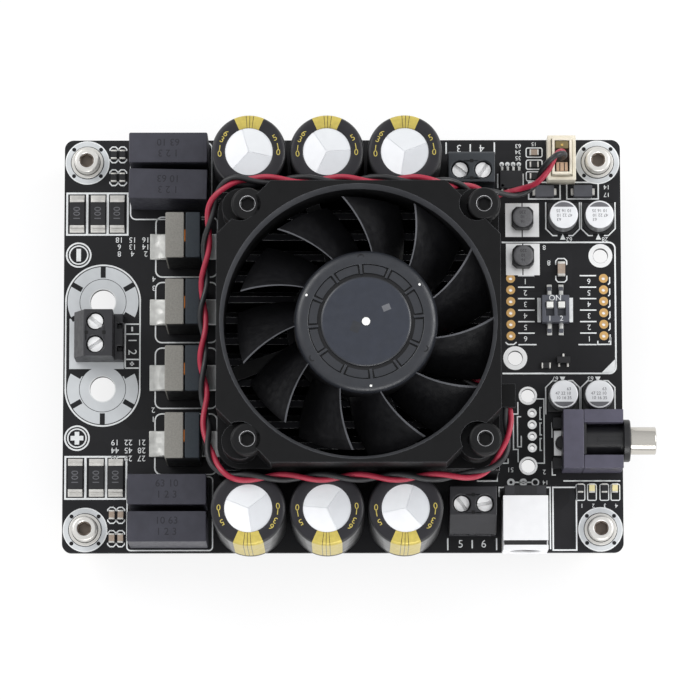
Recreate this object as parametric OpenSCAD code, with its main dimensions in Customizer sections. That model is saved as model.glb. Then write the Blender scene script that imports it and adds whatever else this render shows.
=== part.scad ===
// Fan-cooled audio amplifier board on four standoffs.
// Millimetres. The origin is the middle of the four mounting holes, on the plane the standoffs stand on.
// +X runs to the line input jack, +Y to the control terminal, +Z up through the fan.

/* [Board] */
// Thickness of the circuit board
pcb_t = 1.6; // [1:0.1:3.2]
// Corner radius of the circuit board
pcb_corner_r = 2; // [0.5:0.5:4]
// Board strip left of the heatsink, with the output filter
left_zone_w = 34.4; // [33.5:0.1:45]
// Board strip right of the heatsink, with the signal parts
right_zone_w = 27.6; // [27:0.1:40]
// How far the bulk capacitors overhang the board's long edges
cap_overhang = 0.9; // [0:0.1:2]
// Distance of the mounting holes from both edges
hole_inset = 5; // [4.5:0.1:6]
// Diameter of the mounting holes and of the module's holes
hole_d = 3.2; // [3.2:0.1:3.6]

/* [Standoffs and screws] */
// Height of the standoffs
standoff_h = 10; // [7:0.5:25]
// Width of the standoffs across flats
standoff_af = 5.5; // [5:0.1:7]
// Depth of the threads at both ends of a standoff
standoff_thread = 4.6; // [4.4:0.1:6]
// Thread diameter of the board screws
screw_d = 3; // [2.5:0.1:3]
// Head diameter of the board screws
screw_head_d = 5.5; // [4.5:0.1:6.5]
// Head height of the board screws
screw_head_h = 3; // [2:0.1:4]
// Thread length of the board screws below the head
screw_l = 6; // [5:0.5:8]
// Diameter of the flat washers
washer_d = 7; // [6.6:0.1:9]
// Thickness of the flat washers
washer_t = 0.5; // [0.3:0.1:1]

/* [Heatsink and amplifier chip] */
// Length of the amplifier chip
chip_l = 18; // [12:0.5:24]
// Width of the amplifier chip
chip_w = 14; // [10:0.5:18]
// Height of the amplifier chip above the board
chip_h = 3.6; // [2.5:0.1:5]
// Height of the heatsink, base and fins
heatsink_h = 18.4; // [14:0.1:30]
// Thickness of the heatsink's base
heatsink_base_t = 4; // [3:0.1:6]
// Number of heatsink fins
fin_count = 14; // [8:1:16]
// Thickness of a heatsink fin
fin_t = 1.4; // [1:0.1:2]
// Radius of the heatsink's four corner posts
post_r = 3.8; // [3.4:0.1:4.5]

/* [Fan] */
// Side of the square fan frame and of the heatsink
fan_size = 60; // [56:1:70]
// Thickness of the fan frame
fan_t = 15; // [14:0.5:25]
// Thinnest wall between the fan's duct and its sides
duct_wall = 1.5; // [1:0.1:2.5]
// Distance of the fan screws from the frame's sides
fan_hole_inset = 5; // [4.6:0.1:6]
// Length cut off each corner of the fan frame above its flange
fan_corner_cut = 11.5; // [9:0.5:13]
// Thickness of the fan's square lower flange
flange_h = 3; // [2:0.1:3]
// Depth of the flared inlet at the duct's top
inlet_depth = 2.4; // [1:0.1:4]
// Widening of the flared inlet, on the radius
inlet_flare = 0.8; // [0.3:0.1:0.9]
// Radius of the bosses that hold the fan screws
boss_r = 3.9; // [3.6:0.1:4.4]
// Diameter of the fan screws
fan_screw_d = 4; // [3:0.1:4.2]
// Head diameter of the fan screws
fan_head_d = 7; // [5.5:0.1:7.2]
// Head height of the fan screws
fan_head_h = 4; // [3:0.1:5]
// Depth of the recess that takes the fan screws' heads
fan_head_sink = 4; // [3:0.1:5]
// Length of the fan screws below the head
fan_screw_l = 20; // [15:0.5:21]
// Radius of the rotor's hub
hub_r = 15.2; // [14:0.1:17]
// Wall of the rotor's hub
hub_wall = 1.5; // [1.2:0.1:2]
// Depth of the hub's top below the frame's top
hub_drop = 1; // [0.5:0.1:2]
// Gap between the blade tips and the duct
tip_gap = 1.2; // [0.6:0.1:2]
// Number of fan blades
blade_count = 11; // [5:1:13]
// Thickness of a fan blade
blade_t = 1; // [0.8:0.1:1.6]
// Angle that a blade sweeps round from its upper to its lower edge
blade_turn = 26; // [18:1:30]
// Angle by which a blade's upper edge leads at its tip
blade_lead = 16; // [8:1:22]
// Diameter of the fan's shaft
shaft_d = 2; // [1.6:0.1:3]
// Gap between shaft and bearing, on the radius
bearing_gap = 0.03; // [0.02:0.01:0.08]
// Wall of the bearing sleeve
bearing_wall = 1.4; // [1:0.1:2]
// Wall of the tube that holds the bearing
bearing_tube_wall = 1; // [0.8:0.1:1.5]
// Thickness of the rotor's magnet ring
magnet_t = 1.5; // [1:0.1:2]
// Gap between magnet and stator
air_gap = 0.7; // [0.4:0.1:1.2]

/* [Capacitors] */
// Diameter of the bulk capacitors
cap_d = 16; // [14:0.5:17]
// Height of the bulk capacitors
cap_h = 25; // [18:0.5:25]
// Gap between bulk capacitors in a row
cap_gap = 0.7; // [0.4:0.1:1.5]
// Gap between the bulk capacitors and the fan frame
cap_fan_gap = 0.4; // [0.3:0.1:1]
// Length of the film capacitors
film_l = 17; // [14:0.5:18]
// Width of the film capacitors
film_w = 6.6; // [5:0.1:7.4]
// Height of the film capacitors
film_h = 15; // [10:0.5:20]
// Distance between the film capacitors of a pair
film_pitch = 8; // [7.6:0.1:9]
// Diameter of the small surface-mounted can capacitors
small_cap_d = 6.3; // [5:0.1:6.6]
// Height of the small surface-mounted can capacitors
small_cap_h = 6; // [5:0.1:8]

/* [Inductors] */
// Length of an output inductor's core, across the board
core_l = 9.9; // [8:0.1:12]
// Height of an output inductor
core_h = 16.8; // [12:0.1:22]
// Thickness of the outer half of an output inductor's core
core_outer_t = 4.05; // [3:0.05:5]
// Thickness of the inner half of an output inductor's core
core_inner_t = 3.2; // [2.5:0.05:4]
// Thickness of the winding between the two core halves
winding_t = 0.3; // [0.2:0.05:0.6]
// Distance between the output inductors
core_pitch = 14.5; // [13.5:0.1:16]
// Length of an output inductor's terminal strip
strip_l = 15.5; // [12:0.1:16]
// Width of an output inductor's terminal strip
strip_w = 5.7; // [4:0.1:7]
// Thickness of an output inductor's terminal strip
strip_t = 0.5; // [0.3:0.1:0.8]
// Side of the two small shielded inductors
power_core_w = 4.7; // [4:0.1:5.2]
// Height of the two small shielded inductors
power_core_h = 4; // [3:0.1:5]

/* [Screw terminals] */
// Distance between a terminal's two poles
term_pitch = 5; // [5:0.02:5.4]
// Height of the terminal housings
term_h = 10.5; // [10:0.1:13]
// Depth of the terminal housings
term_depth = 9.9; // [9.4:0.1:11]
// Distance of a terminal's screws from its back
term_screw_y = 3.8; // [3.6:0.1:4.2]
// Diameter of the terminals' screw heads
term_head_d = 3.3; // [3:0.1:3.4]
// Thread diameter of the terminals' screws
term_screw_d = 2.5; // [2:0.1:2.6]
// Travel of a wire clamp
clamp_travel = 1.25; // [0.8:0.05:1.3]

/* [Connectors] */
// Width of the line input jack
jack_w = 12.8; // [11:0.1:14]
// Length of the line input jack's body
jack_l = 13; // [12:0.1:15]
// Height of the line input jack's body
jack_h = 10; // [9.9:0.1:12]
// Height of the jack's axis above the board
jack_axis_h = 5.5; // [5.2:0.1:5.8]
// Diameter of the jack's barrel
barrel_d = 6; // [5.4:0.1:6.4]
// Length of the jack's barrel beyond its flange
barrel_l = 5.6; // [3:0.1:8]
// Diameter of the jack's bore
jack_bore_d = 3.6; // [3.55:0.01:3.8]
// Width of the supply jack
dc_w = 9.7; // [9.4:0.1:11]
// Height of the supply jack
dc_h = 11; // [10.6:0.1:12]
// Diameter of the supply jack's bore
dc_bore_d = 6.4; // [6:0.1:6.6]
// Diameter of the supply jack's centre pin
dc_pin_d = 2; // [1.9:0.1:2.5]
// Distance between the fan connector's pins
pin_pitch = 2.5; // [2.5:0.01:2.6]
// Height of the fan connector's header
header_h = 6; // [4:0.1:7]
// Height of the fan connector's plug above the board
plug_top = 8; // [7.5:0.1:8]
// Side of the two-way switch
switch_w = 6; // [5.6:0.1:6.6]
// Height of the two-way switch
switch_h = 2.6; // [2.2:0.1:3.5]
// Travel of the switch's sliders
switch_travel = 1.6; // [1:0.1:1.8]

/* [Fan lead] */
// Diameter of the fan's twisted pair
lead_d = 2.6; // [2:0.1:2.6]

/* [Hidden] */
$fn = 48;
eps = 0.01;
thread_gap = 0.05;
thread_pitch = 0.5;
slide_gap = 0.15;

// Board and fan places
pcb_w = left_zone_w + fan_size + right_zone_w;
pcb_h = fan_size + 2 * (cap_fan_gap + cap_d - cap_overhang);
half_w = pcb_w / 2;
half_h = pcb_h / 2;
top = standoff_h + pcb_t;
hole_x = half_w - hole_inset;
hole_y = half_h - hole_inset;
fan_x = (left_zone_w - right_zone_w) / 2;
fan_half = fan_size / 2;
fan_hole = fan_half - fan_hole_inset;
heatsink_z = top + chip_h;
fan_z = heatsink_z + heatsink_h;
fan_top = fan_z + fan_t;
chip_lead_count = 9;
chip_lead_w = 0.8;
chip_lead_l = 1.6;

// Fan drive train
duct_r = fan_half - duct_wall;
tip_r = duct_r - tip_gap;
hub_top = fan_top - hub_drop;
hub_floor = fan_z + 3.4;
hub_cap_t = 1.8;
motor_plate_t = 1.6;
bearing_r = shaft_d / 2 + bearing_gap + bearing_wall;
tube_r = bearing_r + bearing_tube_wall;
bearing_z = fan_z + motor_plate_t;
bearing_top = hub_top - hub_cap_t - 1.4;
magnet_r = hub_r - hub_wall;
stator_r = magnet_r - magnet_t - air_gap;
stator_z = hub_floor + 1;
stator_h = hub_top - hub_cap_t - 1 - stator_z;
hub_disc_r = 9.4;
hub_groove_w = 1.2;
hub_pocket_w = 1.6;
hub_pocket_count = 12;
strut_w = 3;
blade_phase = 2.7;
lug_l = 5;
lug_w = 3.2;
lug_z = 4.4;
lug_y = -17.5;

// Flat resistors: distances from the left edge
shunt_x = [2.8, 7.4, 11.6];
shunt_y = [16.4 - half_h, half_h - 16.4];
shunt_size = [3.2, 6.3, 0.7];
shunt_edge = shunt_x[2] + shunt_size[0] / 2;

// Bulk and film capacitors
cap_step = cap_d + cap_gap;
cap_film_gap = 1.2;
film_share = 0.381;
film_slack = left_zone_w - shunt_edge - film_l;
film_x = shunt_edge + film_share * film_slack + film_l / 2 - half_w;
cap_x = film_x + film_l / 2 + cap_film_gap + cap_d / 2 + cap_step;
cap_y = fan_half + cap_fan_gap + cap_d / 2;
film_edge = 4.3;
film_tilt = [0, -1.2, 0, 0];
film_y = [half_h - film_edge, half_h - film_edge - film_pitch,
          film_edge + film_pitch - half_h, film_edge - half_h];

// Output inductors
core_w = core_outer_t + winding_t + core_inner_t;
core_x = 26.6 - half_w;
core_count = 4;

// Screw terminals: x, y of the middle between the screws, and the way the wires enter
term_w = 2 * term_pitch + 0.2;
term_side_x = cap_x + cap_step + cap_d / 2 + 1.6 + term_w / 2;
term_names = ["output_terminal", "control_terminal", "supply_terminal"];
term_places = [[7.5 - half_w, 1.4, -90], [term_side_x, half_h - 8.4, 180], [term_side_x, 9.6 - half_h, 0]];
term_top_depth = 6.3;
term_lip_h = 6;
term_edge_cut = 0.5;
// Each housing's depth, the height of its front edge, and its back's distance from the screws
term_depths = [term_depth - 1.3, term_top_depth + term_edge_cut, term_depth];
term_lips = [term_lip_h, term_h - term_edge_cut, term_lip_h];
term_backs = [term_screw_y, term_screw_y - 1, term_screw_y];
// Low ledge at the back of the output terminal: length, height and the size of its pockets
ledge_l = 2;
ledge_h = 3.2;
ledge_pocket = 1.1;
term_web_z = term_h - 3.2;
term_web_t = 0.9;
term_head_h = 1.5;
cage_w = 3.7;
cage_l = 4.4;
cage_h = 4.4;
cage_wall = 0.8;
cage_z = 1.2;
wire_way = 3.2;

// Connectors and switch
jack_x = half_w - 13.4;
jack_y = 23.7 - half_h;
jack_recess_w = 6.8;
flange_r = 4.6;
flange_t = 1.6;
dc_x = term_side_x + term_w / 2 + 1.3 + dc_w / 2;
dc_front = -half_h - 0.4;
dc_back = dc_front + 13.9;
dc_shell_back = dc_front + 11.7;
dc_shell_t = 0.3;
dc_axis_h = 6.3;
dc_depth = 9.5;
header_x = half_w - 13.1;
header_y = half_h - 5;
header_w = 6.2;
header_l = 3 * pin_pitch + 2.4;
header_wall = 0.8;
header_floor = 1.2;
pin_w = 0.64;
switch_x = half_w - 14.5;
switch_y = 7.7;
switch_pitch = 2.54;
slot_w = 1.5;
knob_l = 1.3;
knob_rise = 0.5;
slot_depth = 1.4;

// Surface-mounted parts: place from the right or left edge and the middle line
small_base_w = small_cap_d + 0.3;
small_cap_low_y = jack_y + jack_w / 2 + 0.5 + small_base_w / 2;
small_caps = [[12.7, half_h - 17.6], [4.9, half_h - 17.6], [13, small_cap_low_y], [5.3, small_cap_low_y]];
power_cores = [[21.6, half_h - 17.8], [21.5, 19.2]];
driver_size = [4.9, 3.9, 1.6];
driver_gap = 1.35;
driver_place = [term_side_x + term_w / 2 + driver_gap + driver_size[0] / 2, half_h - 9];
chip_column_x = (driver_place[0] + driver_size[0] / 2 + header_x - header_w / 2) / 2;
diode_size = [4.3, 2.6, 2];
diodes = [[chip_column_x + 2.2, half_h - 11.7], [half_w - 8.3, half_h - 11.7]];
chip_size = [1.25, 2, 0.8];
left_chips = [for (x = [10.8, 12.7], y = [3.2, 8.3], s = [-1, 1]) [x - half_w, s * (half_h - y)]];
right_chips = [for (y = [2.8, 5.5, 8.1]) [chip_column_x, half_h - y]];
lower_chips = [[half_w - 16.6, -4.6], [half_w - 9.3, 14 - half_h], [half_w - 6.8, 14 - half_h],
               [half_w - 4.1, 14 - half_h], [half_w - 1.8, 14 - half_h]];
large_chip = [half_w - 13.1, 16.7];
transistor = [half_w - 12.8, -3.4];

// Holes that stay free: speaker posts, module pins and feet, spare connector
post_hole_d = 5.5;
post_hole_x = 8.6 - half_w;
post_hole_y = 9.6;
module_pins = 6;
module_pitch = 2.54;
module_pin_d = 1.02;
module_pin_x = [half_w - 24.2, half_w - 3.88];
module_pin_y = 14.7;
module_feet = [[half_w - 4.5, 19.7], [half_w - 23.3, -2.9]];
spare_pins = 4;
spare_pin_x = half_w - 19.7;
spare_pin_y = -15;
spare_feet = [[half_w - 20.6, -11.2], [half_w - 20.6, -26.6]];
spare_foot_d = 3;

// Route of the fan lead, from the lug on the fan frame to the plug, heights above the board
lead_route = [
    [35, -17.5, 28], [35.1, -21, 28], [34.7, -25.2, 27.8], [32.8, -28.8, 27.4], [29, -31.2, 27],
    [22, -31.9, 26.8], [13.4, -32, 26.6], [5, -32, 26.5], [-3.3, -32, 26.6], [-11.6, -32, 26.5],
    [-18.4, -32, 26.5], [-23.4, -31.8, 26.4], [-26.8, -29.5, 25.3], [-28.4, -25.4, 23.4], [-29.2, -19.5, 20.8],
    [-29.6, -13, 19], [-30, -7, 18.5], [-29.7, -1, 18.5], [-30, 5, 18.5], [-29.7, 11, 18.6],
    [-29.3, 17, 20], [-28.6, 23.4, 22.8], [-27.2, 28.6, 25], [-23.6, 31.8, 26.4], [-18.4, 32, 26.5],
    [-11.6, 32, 26.6], [-3.4, 32, 26.5], [6, 32, 26.6], [13.5, 32, 26.5], [19.6, 31.8, 26],
    [24.6, 31.6, 22], [28.8, 31.6, 15.6], [32.6, 31.7, 10.2], [36.2, 32.2, 7.6], [39.4, 32.9, 7.4],
    [42, 34.2, 9.2], [43.9, 36.5, 11.8], [45.8, 39, 13.8], [47.3, 40.2, 13], [48, 40.5, 10.8],
    [48, 40.5, 8]];
lead_sides = 8;

// Shared shapes

module block(size, at) {
    translate([at[0] - size[0] / 2, at[1] - size[1] / 2, at[2]]) cube(size);
}

module rounded_rectangle(w, h, r) {
    square([w - 2 * r, h], center = true);
    square([w, h - 2 * r], center = true);
    for (x = [-1, 1], y = [-1, 1]) translate([x * (w / 2 - r), y * (h / 2 - r)]) circle(r = r);
}

module ring(outer_r, inner_r, h) {
    difference() {
        cylinder(r = outer_r, h = h);
        translate([0, 0, -eps]) cylinder(r = inner_r, h = h + 2 * eps);
    }
}

module at_corners(x, y) {
    for (sx = [-1, 1], sy = [-1, 1]) translate([sx * x, sy * y, 0]) children();
}

module at_fan() {
    translate([fan_x, 0, 0]) children();
}

module socket_screw(d, l, head_d, head_h, key) {
    translate([0, 0, -l]) cylinder(d = d, h = l);
    difference() {
        cylinder(d = head_d, h = head_h);
        translate([0, 0, head_h / 2]) cylinder(d = key / cos(30), h = head_h, $fn = 6);
    }
}

// Board and what holds it

module pcb() {
    color([0.13, 0.13, 0.14]) translate([0, 0, standoff_h]) difference() {
        linear_extrude(pcb_t) rounded_rectangle(pcb_w, pcb_h, pcb_corner_r);
        translate([0, 0, -eps]) board_holes(pcb_t + 2 * eps);
    }
}

module board_holes(h) {
    at_corners(hole_x, hole_y) cylinder(d = hole_d, h = h);
    at_fan() at_corners(fan_hole, fan_hole) cylinder(d = screw_d + 2 * thread_gap, h = h);
    for (s = [-1, 1]) translate([post_hole_x, s * post_hole_y, 0]) cylinder(d = post_hole_d, h = h);
    for (x = module_pin_x, i = [0:module_pins - 1])
        translate([x, module_pin_y - i * module_pitch, 0]) cylinder(d = module_pin_d, h = h);
    for (p = module_feet) translate([p[0], p[1], 0]) cylinder(d = hole_d, h = h);
    for (i = [0:spare_pins - 1])
        translate([spare_pin_x, spare_pin_y - i * module_pitch, 0]) cylinder(d = module_pin_d, h = h);
    for (p = spare_feet) translate([p[0], p[1], 0]) cylinder(d = spare_foot_d, h = h);
}

module standoffs() {
    color([0.78, 0.68, 0.42]) at_corners(hole_x, hole_y) difference() {
        cylinder(d = standoff_af / cos(30), h = standoff_h, $fn = 6);
        translate([0, 0, -eps]) cylinder(d = screw_d - thread_pitch, h = standoff_thread + eps);
        translate([0, 0, standoff_h - standoff_thread])
            cylinder(d = screw_d + 2 * thread_gap, h = standoff_thread + eps);
    }
}

module mounting_screws() {
    color([0.75, 0.75, 0.77]) at_corners(hole_x, hole_y) translate([0, 0, top + washer_t])
        socket_screw(screw_d, screw_l, screw_head_d, screw_head_h, 2.5);
}

module mounting_washers() {
    color([0.82, 0.82, 0.83]) at_corners(hole_x, hole_y) translate([0, 0, top])
        ring(washer_d / 2, hole_d / 2, washer_t);
}

// Amplifier chip, heatsink and fan

module amplifier_chip() {
    color([0.16, 0.16, 0.17]) at_fan() {
        block([chip_l, chip_w, chip_h], [0, 0, top]);
        for (s = [-1, 1], i = [0:chip_lead_count - 1])
            block([chip_lead_w, chip_lead_l, 0.6],
                  [(i - (chip_lead_count - 1) / 2) * chip_l / chip_lead_count,
                   s * (chip_w + chip_lead_l) / 2, top]);
    }
}

module heatsink() {
    fin_step = (fan_size - fin_t) / (fin_count - 1);
    color([0.1, 0.1, 0.11]) at_fan() difference() {
        union() {
            block([fan_size, fan_size, heatsink_base_t], [0, 0, heatsink_z]);
            for (i = [0:fin_count - 1])
                block([fan_size, fin_t, heatsink_h], [0, i * fin_step - (fan_size - fin_t) / 2, heatsink_z]);
            at_corners(fan_hole, fan_hole) translate([0, 0, top]) cylinder(r = post_r, h = fan_z - top);
        }
        at_corners(fan_hole, fan_hole) {
            translate([0, 0, fan_z - heatsink_h / 2 - 1])
                cylinder(d = fan_screw_d + 2 * thread_gap, h = heatsink_h);
            translate([0, 0, top - eps]) cylinder(d = screw_d + 2 * thread_gap, h = chip_h + heatsink_base_t / 2);
        }
    }
}

module heatsink_screws() {
    color([0.72, 0.72, 0.74]) at_fan() at_corners(fan_hole, fan_hole) translate([0, 0, standoff_h])
        rotate([180, 0, 0])
            socket_screw(screw_d, pcb_t + chip_h, screw_head_d, screw_head_h / 2, 2);
}

module fan_outline() {
    difference() {
        square(fan_size, center = true);
        for (a = [0:90:270]) rotate(a) translate([fan_half, fan_half]) rotate(45)
            square([fan_corner_cut * sqrt(2), 2 * fan_size], center = true);
    }
}

module fan_frame() {
    color([0.09, 0.09, 0.1]) at_fan() translate([0, 0, fan_z]) {
        difference() {
            union() {
                linear_extrude(fan_t) fan_outline();
                linear_extrude(flange_h) rounded_rectangle(fan_size, fan_size, fan_hole_inset);
                at_corners(fan_hole, fan_hole) cylinder(r = boss_r, h = fan_t - fan_head_sink);
            }
            translate([0, 0, -eps]) cylinder(r = duct_r, h = fan_t + 2 * eps, $fn = 96);
            translate([0, 0, fan_t - inlet_depth])
                cylinder(r1 = duct_r, r2 = duct_r + inlet_flare, h = inlet_depth + eps, $fn = 96);
            at_corners(fan_hole, fan_hole) {
                translate([0, 0, -eps]) cylinder(d = fan_screw_d + 2 * thread_gap, h = fan_t + 2 * eps);
                translate([0, 0, fan_t - fan_head_sink]) cylinder(d = fan_head_d + 2 * slide_gap, h = fan_t);
            }
        }
        motor_base();
        wire_lug();
    }
}

module motor_base() {
    cylinder(r = hub_r, h = motor_plate_t);
    for (a = [0:90:270]) rotate(a + 20)
        translate([hub_r - 1, -strut_w / 2, 0]) cube([duct_r - hub_r + 1.6, strut_w, motor_plate_t]);
    translate([0, 0, motor_plate_t - eps])
        ring(tube_r, bearing_r, stator_z + stator_h - fan_z - motor_plate_t);
}

module wire_lug() {
    translate([fan_half - lug_w / 2, lug_y, lug_z])
        cube([1.5 * lug_w, lug_l, lug_w]);
}

module fan_stator() {
    color([0.55, 0.36, 0.2]) at_fan() translate([0, 0, stator_z]) difference() {
        cylinder(r = stator_r, h = stator_h);
        translate([0, 0, -eps]) cylinder(r = tube_r, h = stator_h + 2 * eps);
        for (a = [45:90:315]) rotate(a)
            translate([tube_r + 2, -1, -eps]) cube([stator_r, 2, stator_h + 2 * eps]);
    }
}

module fan_bearing() {
    color([0.72, 0.6, 0.38]) at_fan() translate([0, 0, bearing_z])
        ring(bearing_r, shaft_d / 2 + bearing_gap, bearing_top - bearing_z);
}

module fan_shaft() {
    color([0.75, 0.75, 0.77]) at_fan() translate([0, 0, bearing_z + 0.4])
        cylinder(d = shaft_d, h = hub_top - hub_cap_t / 2 - bearing_z - 0.4);
}

module fan_magnet() {
    color([0.2, 0.19, 0.18]) at_fan() translate([0, 0, stator_z])
        ring(magnet_r, magnet_r - magnet_t, stator_h);
}

// A blade's surface: along 0 at the hub to 1 at the tip, across 0 at the upper to 1 at the lower edge
root_r = hub_r - hub_wall / 2;
blade_top = hub_top - 0.5;
blade_low = hub_floor + 0.5;
blade_spans = 4;
blade_chords = 5;

function blade_point(along, across, side) =
    let (r = root_r + (tip_r - root_r) * along)
    let (a = blade_lead * (along - 1) - blade_turn * across)
    let (z = blade_top - (blade_top - blade_low) * pow(across, 0.85))
    [r * cos(a), r * sin(a), z - side * blade_t];

function blade_grid(side) =
    [for (i = [0:blade_spans], j = [0:blade_chords]) blade_point(i / blade_spans, j / blade_chords, side)];

module blade() {
    row = blade_chords + 1;
    lower = row * (blade_spans + 1);
    cells = [for (i = [0:blade_spans - 1], j = [0:blade_chords - 1]) i * row + j];
    upper_faces = [for (c = cells) each [[c, c + row + 1, c + 1], [c, c + row, c + row + 1]]];
    lower_faces = [for (f = upper_faces) [f[2] + lower, f[1] + lower, f[0] + lower]];
    edge = concat([for (j = [0:blade_chords]) j],
                  [for (i = [1:blade_spans]) i * row + blade_chords],
                  [for (j = [blade_chords - 1:-1:0]) blade_spans * row + j],
                  [for (i = [blade_spans - 1:-1:1]) i * row]);
    n = len(edge);
    rim = [for (k = [0:n - 1])
        let (p = edge[k], q = edge[(k + 1) % n]) each [[p, q + lower, p + lower], [p, q, q + lower]]];
    polyhedron(concat(blade_grid(0), blade_grid(1)), concat(upper_faces, lower_faces, rim));
}

module fan_rotor() {
    color([0.1, 0.1, 0.11]) at_fan() {
        difference() {
            union() {
                translate([0, 0, hub_floor]) cylinder(r = hub_r, h = hub_top - hub_floor);
                for (k = [0:blade_count - 1]) rotate(blade_phase + k * 360 / blade_count) blade();
            }
            translate([0, 0, hub_floor - eps])
                cylinder(r = magnet_r, h = hub_top - hub_cap_t - hub_floor + eps);
            translate([0, 0, hub_floor]) cylinder(d = shaft_d, h = hub_top - hub_cap_t / 2 - hub_floor);
            translate([0, 0, hub_top - 0.5]) ring(hub_disc_r + hub_groove_w, hub_disc_r, 1);
            for (k = [0:hub_pocket_count - 1]) rotate(k * 360 / hub_pocket_count + 20.5)
                translate([hub_disc_r + hub_groove_w - 0.3, -2, hub_top - 0.5])
                    cube([hub_pocket_w + 0.3, 4, 1]);
        }
    }
}

module fan_screws() {
    color([0.12, 0.12, 0.13]) at_fan() at_corners(fan_hole, fan_hole)
        translate([0, 0, fan_top - fan_head_sink])
            socket_screw(fan_screw_d, fan_screw_l, fan_head_d, fan_head_h, 3);
}

// Fan lead and its connector

function unit(v) = v / norm(v);

function route_along(i) =
    unit(lead_route[min(i + 1, len(lead_route) - 1)] - lead_route[max(i - 1, 0)]);

// Every ring keeps one corner pointing the same way, which no part of the route runs along
ring_up = unit([0.35, 0.2, 0.91]);

function route_ring(i) =
    let (t = i == len(lead_route) - 1 ? [0, 0, -1] : i == 0 ? [0, -1, 0] : route_along(i))
    let (u = unit(cross(t, ring_up)))
    let (v = cross(t, u))
    [for (k = [0:lead_sides - 1])
        lead_route[i] + [0, 0, top]
            + lead_d / 2 * (u * cos(k * 360 / lead_sides) + v * sin(k * 360 / lead_sides))];

module fan_lead() {
    rings = len(lead_route);
    points = [for (i = [0:rings - 1]) each route_ring(i)];
    walls = [for (i = [0:rings - 2], k = [0:lead_sides - 1])
        let (a = i * lead_sides + k, b = i * lead_sides + (k + 1) % lead_sides)
        each [[a, b, b + lead_sides], [a, b + lead_sides, a + lead_sides]]];
    first = [for (k = [lead_sides - 1:-1:0]) k];
    last = [for (k = [0:lead_sides - 1]) (rings - 1) * lead_sides + k];
    color([0.62, 0.2, 0.24]) polyhedron(points, concat(walls, [first, last]));
}

module header_pin_cuts(gap, h) {
    for (i = [-1:1]) translate([0, i * pin_pitch, 0]) block([pin_w + gap, pin_w + gap, h], [0, 0, 0]);
}

module fan_header() {
    color([0.88, 0.86, 0.8]) translate([header_x, header_y, top]) {
        difference() {
            block([header_w, header_l, header_h], [0, 0, 0]);
            block([header_w - 2 * header_wall, header_l - 2 * header_wall, header_h], [0, 0, header_floor]);
        }
        header_pin_cuts(0, header_h - 0.5);
    }
}

module fan_plug() {
    color([0.9, 0.87, 0.8]) translate([header_x, header_y, top]) difference() {
        block([header_w - 2 * header_wall - 2 * slide_gap, header_l - 2 * header_wall - 2 * slide_gap,
               plug_top - header_floor], [0, 0, header_floor]);
        translate([0, 0, header_floor - eps]) header_pin_cuts(2 * slide_gap, header_h - header_floor);
    }
}

// Capacitors

module bulk_capacitor(i) {
    rim = 0.6;
    crimp_z = 2.2;
    crimp = 0.5;
    r = cap_d / 2;
    color([0.12, 0.12, 0.13])
        translate([cap_x + (i % 3 - 1) * cap_step, i < 3 ? cap_y : -cap_y, top])
            rotate_extrude($fn = 64) polygon([
                [0, 0], [r - rim, 0], [r, rim], [r, crimp_z - crimp], [r - crimp, crimp_z],
                [r, crimp_z + crimp], [r, cap_h - rim], [r - rim, cap_h], [r - 3, cap_h],
                [r - 3, cap_h - 0.3], [0, cap_h - 0.3]]);
}

module film_capacitor(i) {
    color([0.27, 0.27, 0.3]) translate([film_x, film_y[i], top]) rotate(film_tilt[i])
        block([film_l, film_w, film_h], [0, 0, 0]);
}

module small_capacitors() {
    color([0.8, 0.8, 0.82]) for (p = small_caps) translate([half_w - p[0], p[1], top]) {
        block([small_base_w, small_base_w, 0.9], [0, 0, 0]);
        cylinder(d = small_cap_d, h = small_cap_h);
    }
}

// Inductors

function core_y(i) = (core_count - 1) / 2 * core_pitch - i * core_pitch;

module output_inductor_core(i) {
    color([0.5, 0.5, 0.48]) translate([core_x, core_y(i), top]) {
        block([core_outer_t, core_l, core_h - strip_t], [core_outer_t / 2 - core_w / 2, 0, strip_t]);
        block([core_inner_t, core_l, core_h - strip_t], [core_w / 2 - core_inner_t / 2, 0, strip_t]);
    }
}

module output_inductor_windings() {
    color([0.72, 0.45, 0.25]) for (i = [0:core_count - 1]) translate([core_x, core_y(i), top]) {
        block([strip_l, strip_w, strip_t], [0, 0, 0]);
        block([winding_t, core_l - 1, core_h - 1], [core_outer_t + winding_t / 2 - core_w / 2, 0, 0]);
    }
}

module power_inductors() {
    color([0.2, 0.2, 0.21]) for (p = power_cores) translate([half_w - p[0], p[1], top])
        linear_extrude(power_core_h) rounded_rectangle(power_core_w, power_core_w, 0.8);
}

// Screw terminals: the back is at +Y and the wires enter from -Y before they are turned

module at_terminal(t) {
    p = term_places[t];
    translate([p[0], p[1], top]) rotate(p[2]) children();
}

module at_pole(k) {
    translate([(k - 0.5) * term_pitch, 0, 0]) children();
}

module terminal_housing(t) {
    depth = term_depths[t];
    color([0.26, 0.26, 0.27]) at_terminal(t) difference() {
        union() {
            rotate([90, 0, 90]) translate([term_backs[t], 0, -term_w / 2]) linear_extrude(term_w) polygon([
                [0, 0], [-depth, 0], [-depth, term_lips[t]], [-term_top_depth, term_h], [0, term_h]]);
            if (t == 0) block([term_w, 2 * ledge_l, ledge_h], [0, term_screw_y, 0]);
        }
        for (k = [0, 1]) at_pole(k) pole_cuts();
        if (t == 0) for (k = [0, 1]) at_pole(k)
            block([ledge_pocket, ledge_pocket, ledge_h], [0, term_screw_y + 0.6 * ledge_l, ledge_h / 2]);
    }
}

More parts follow.
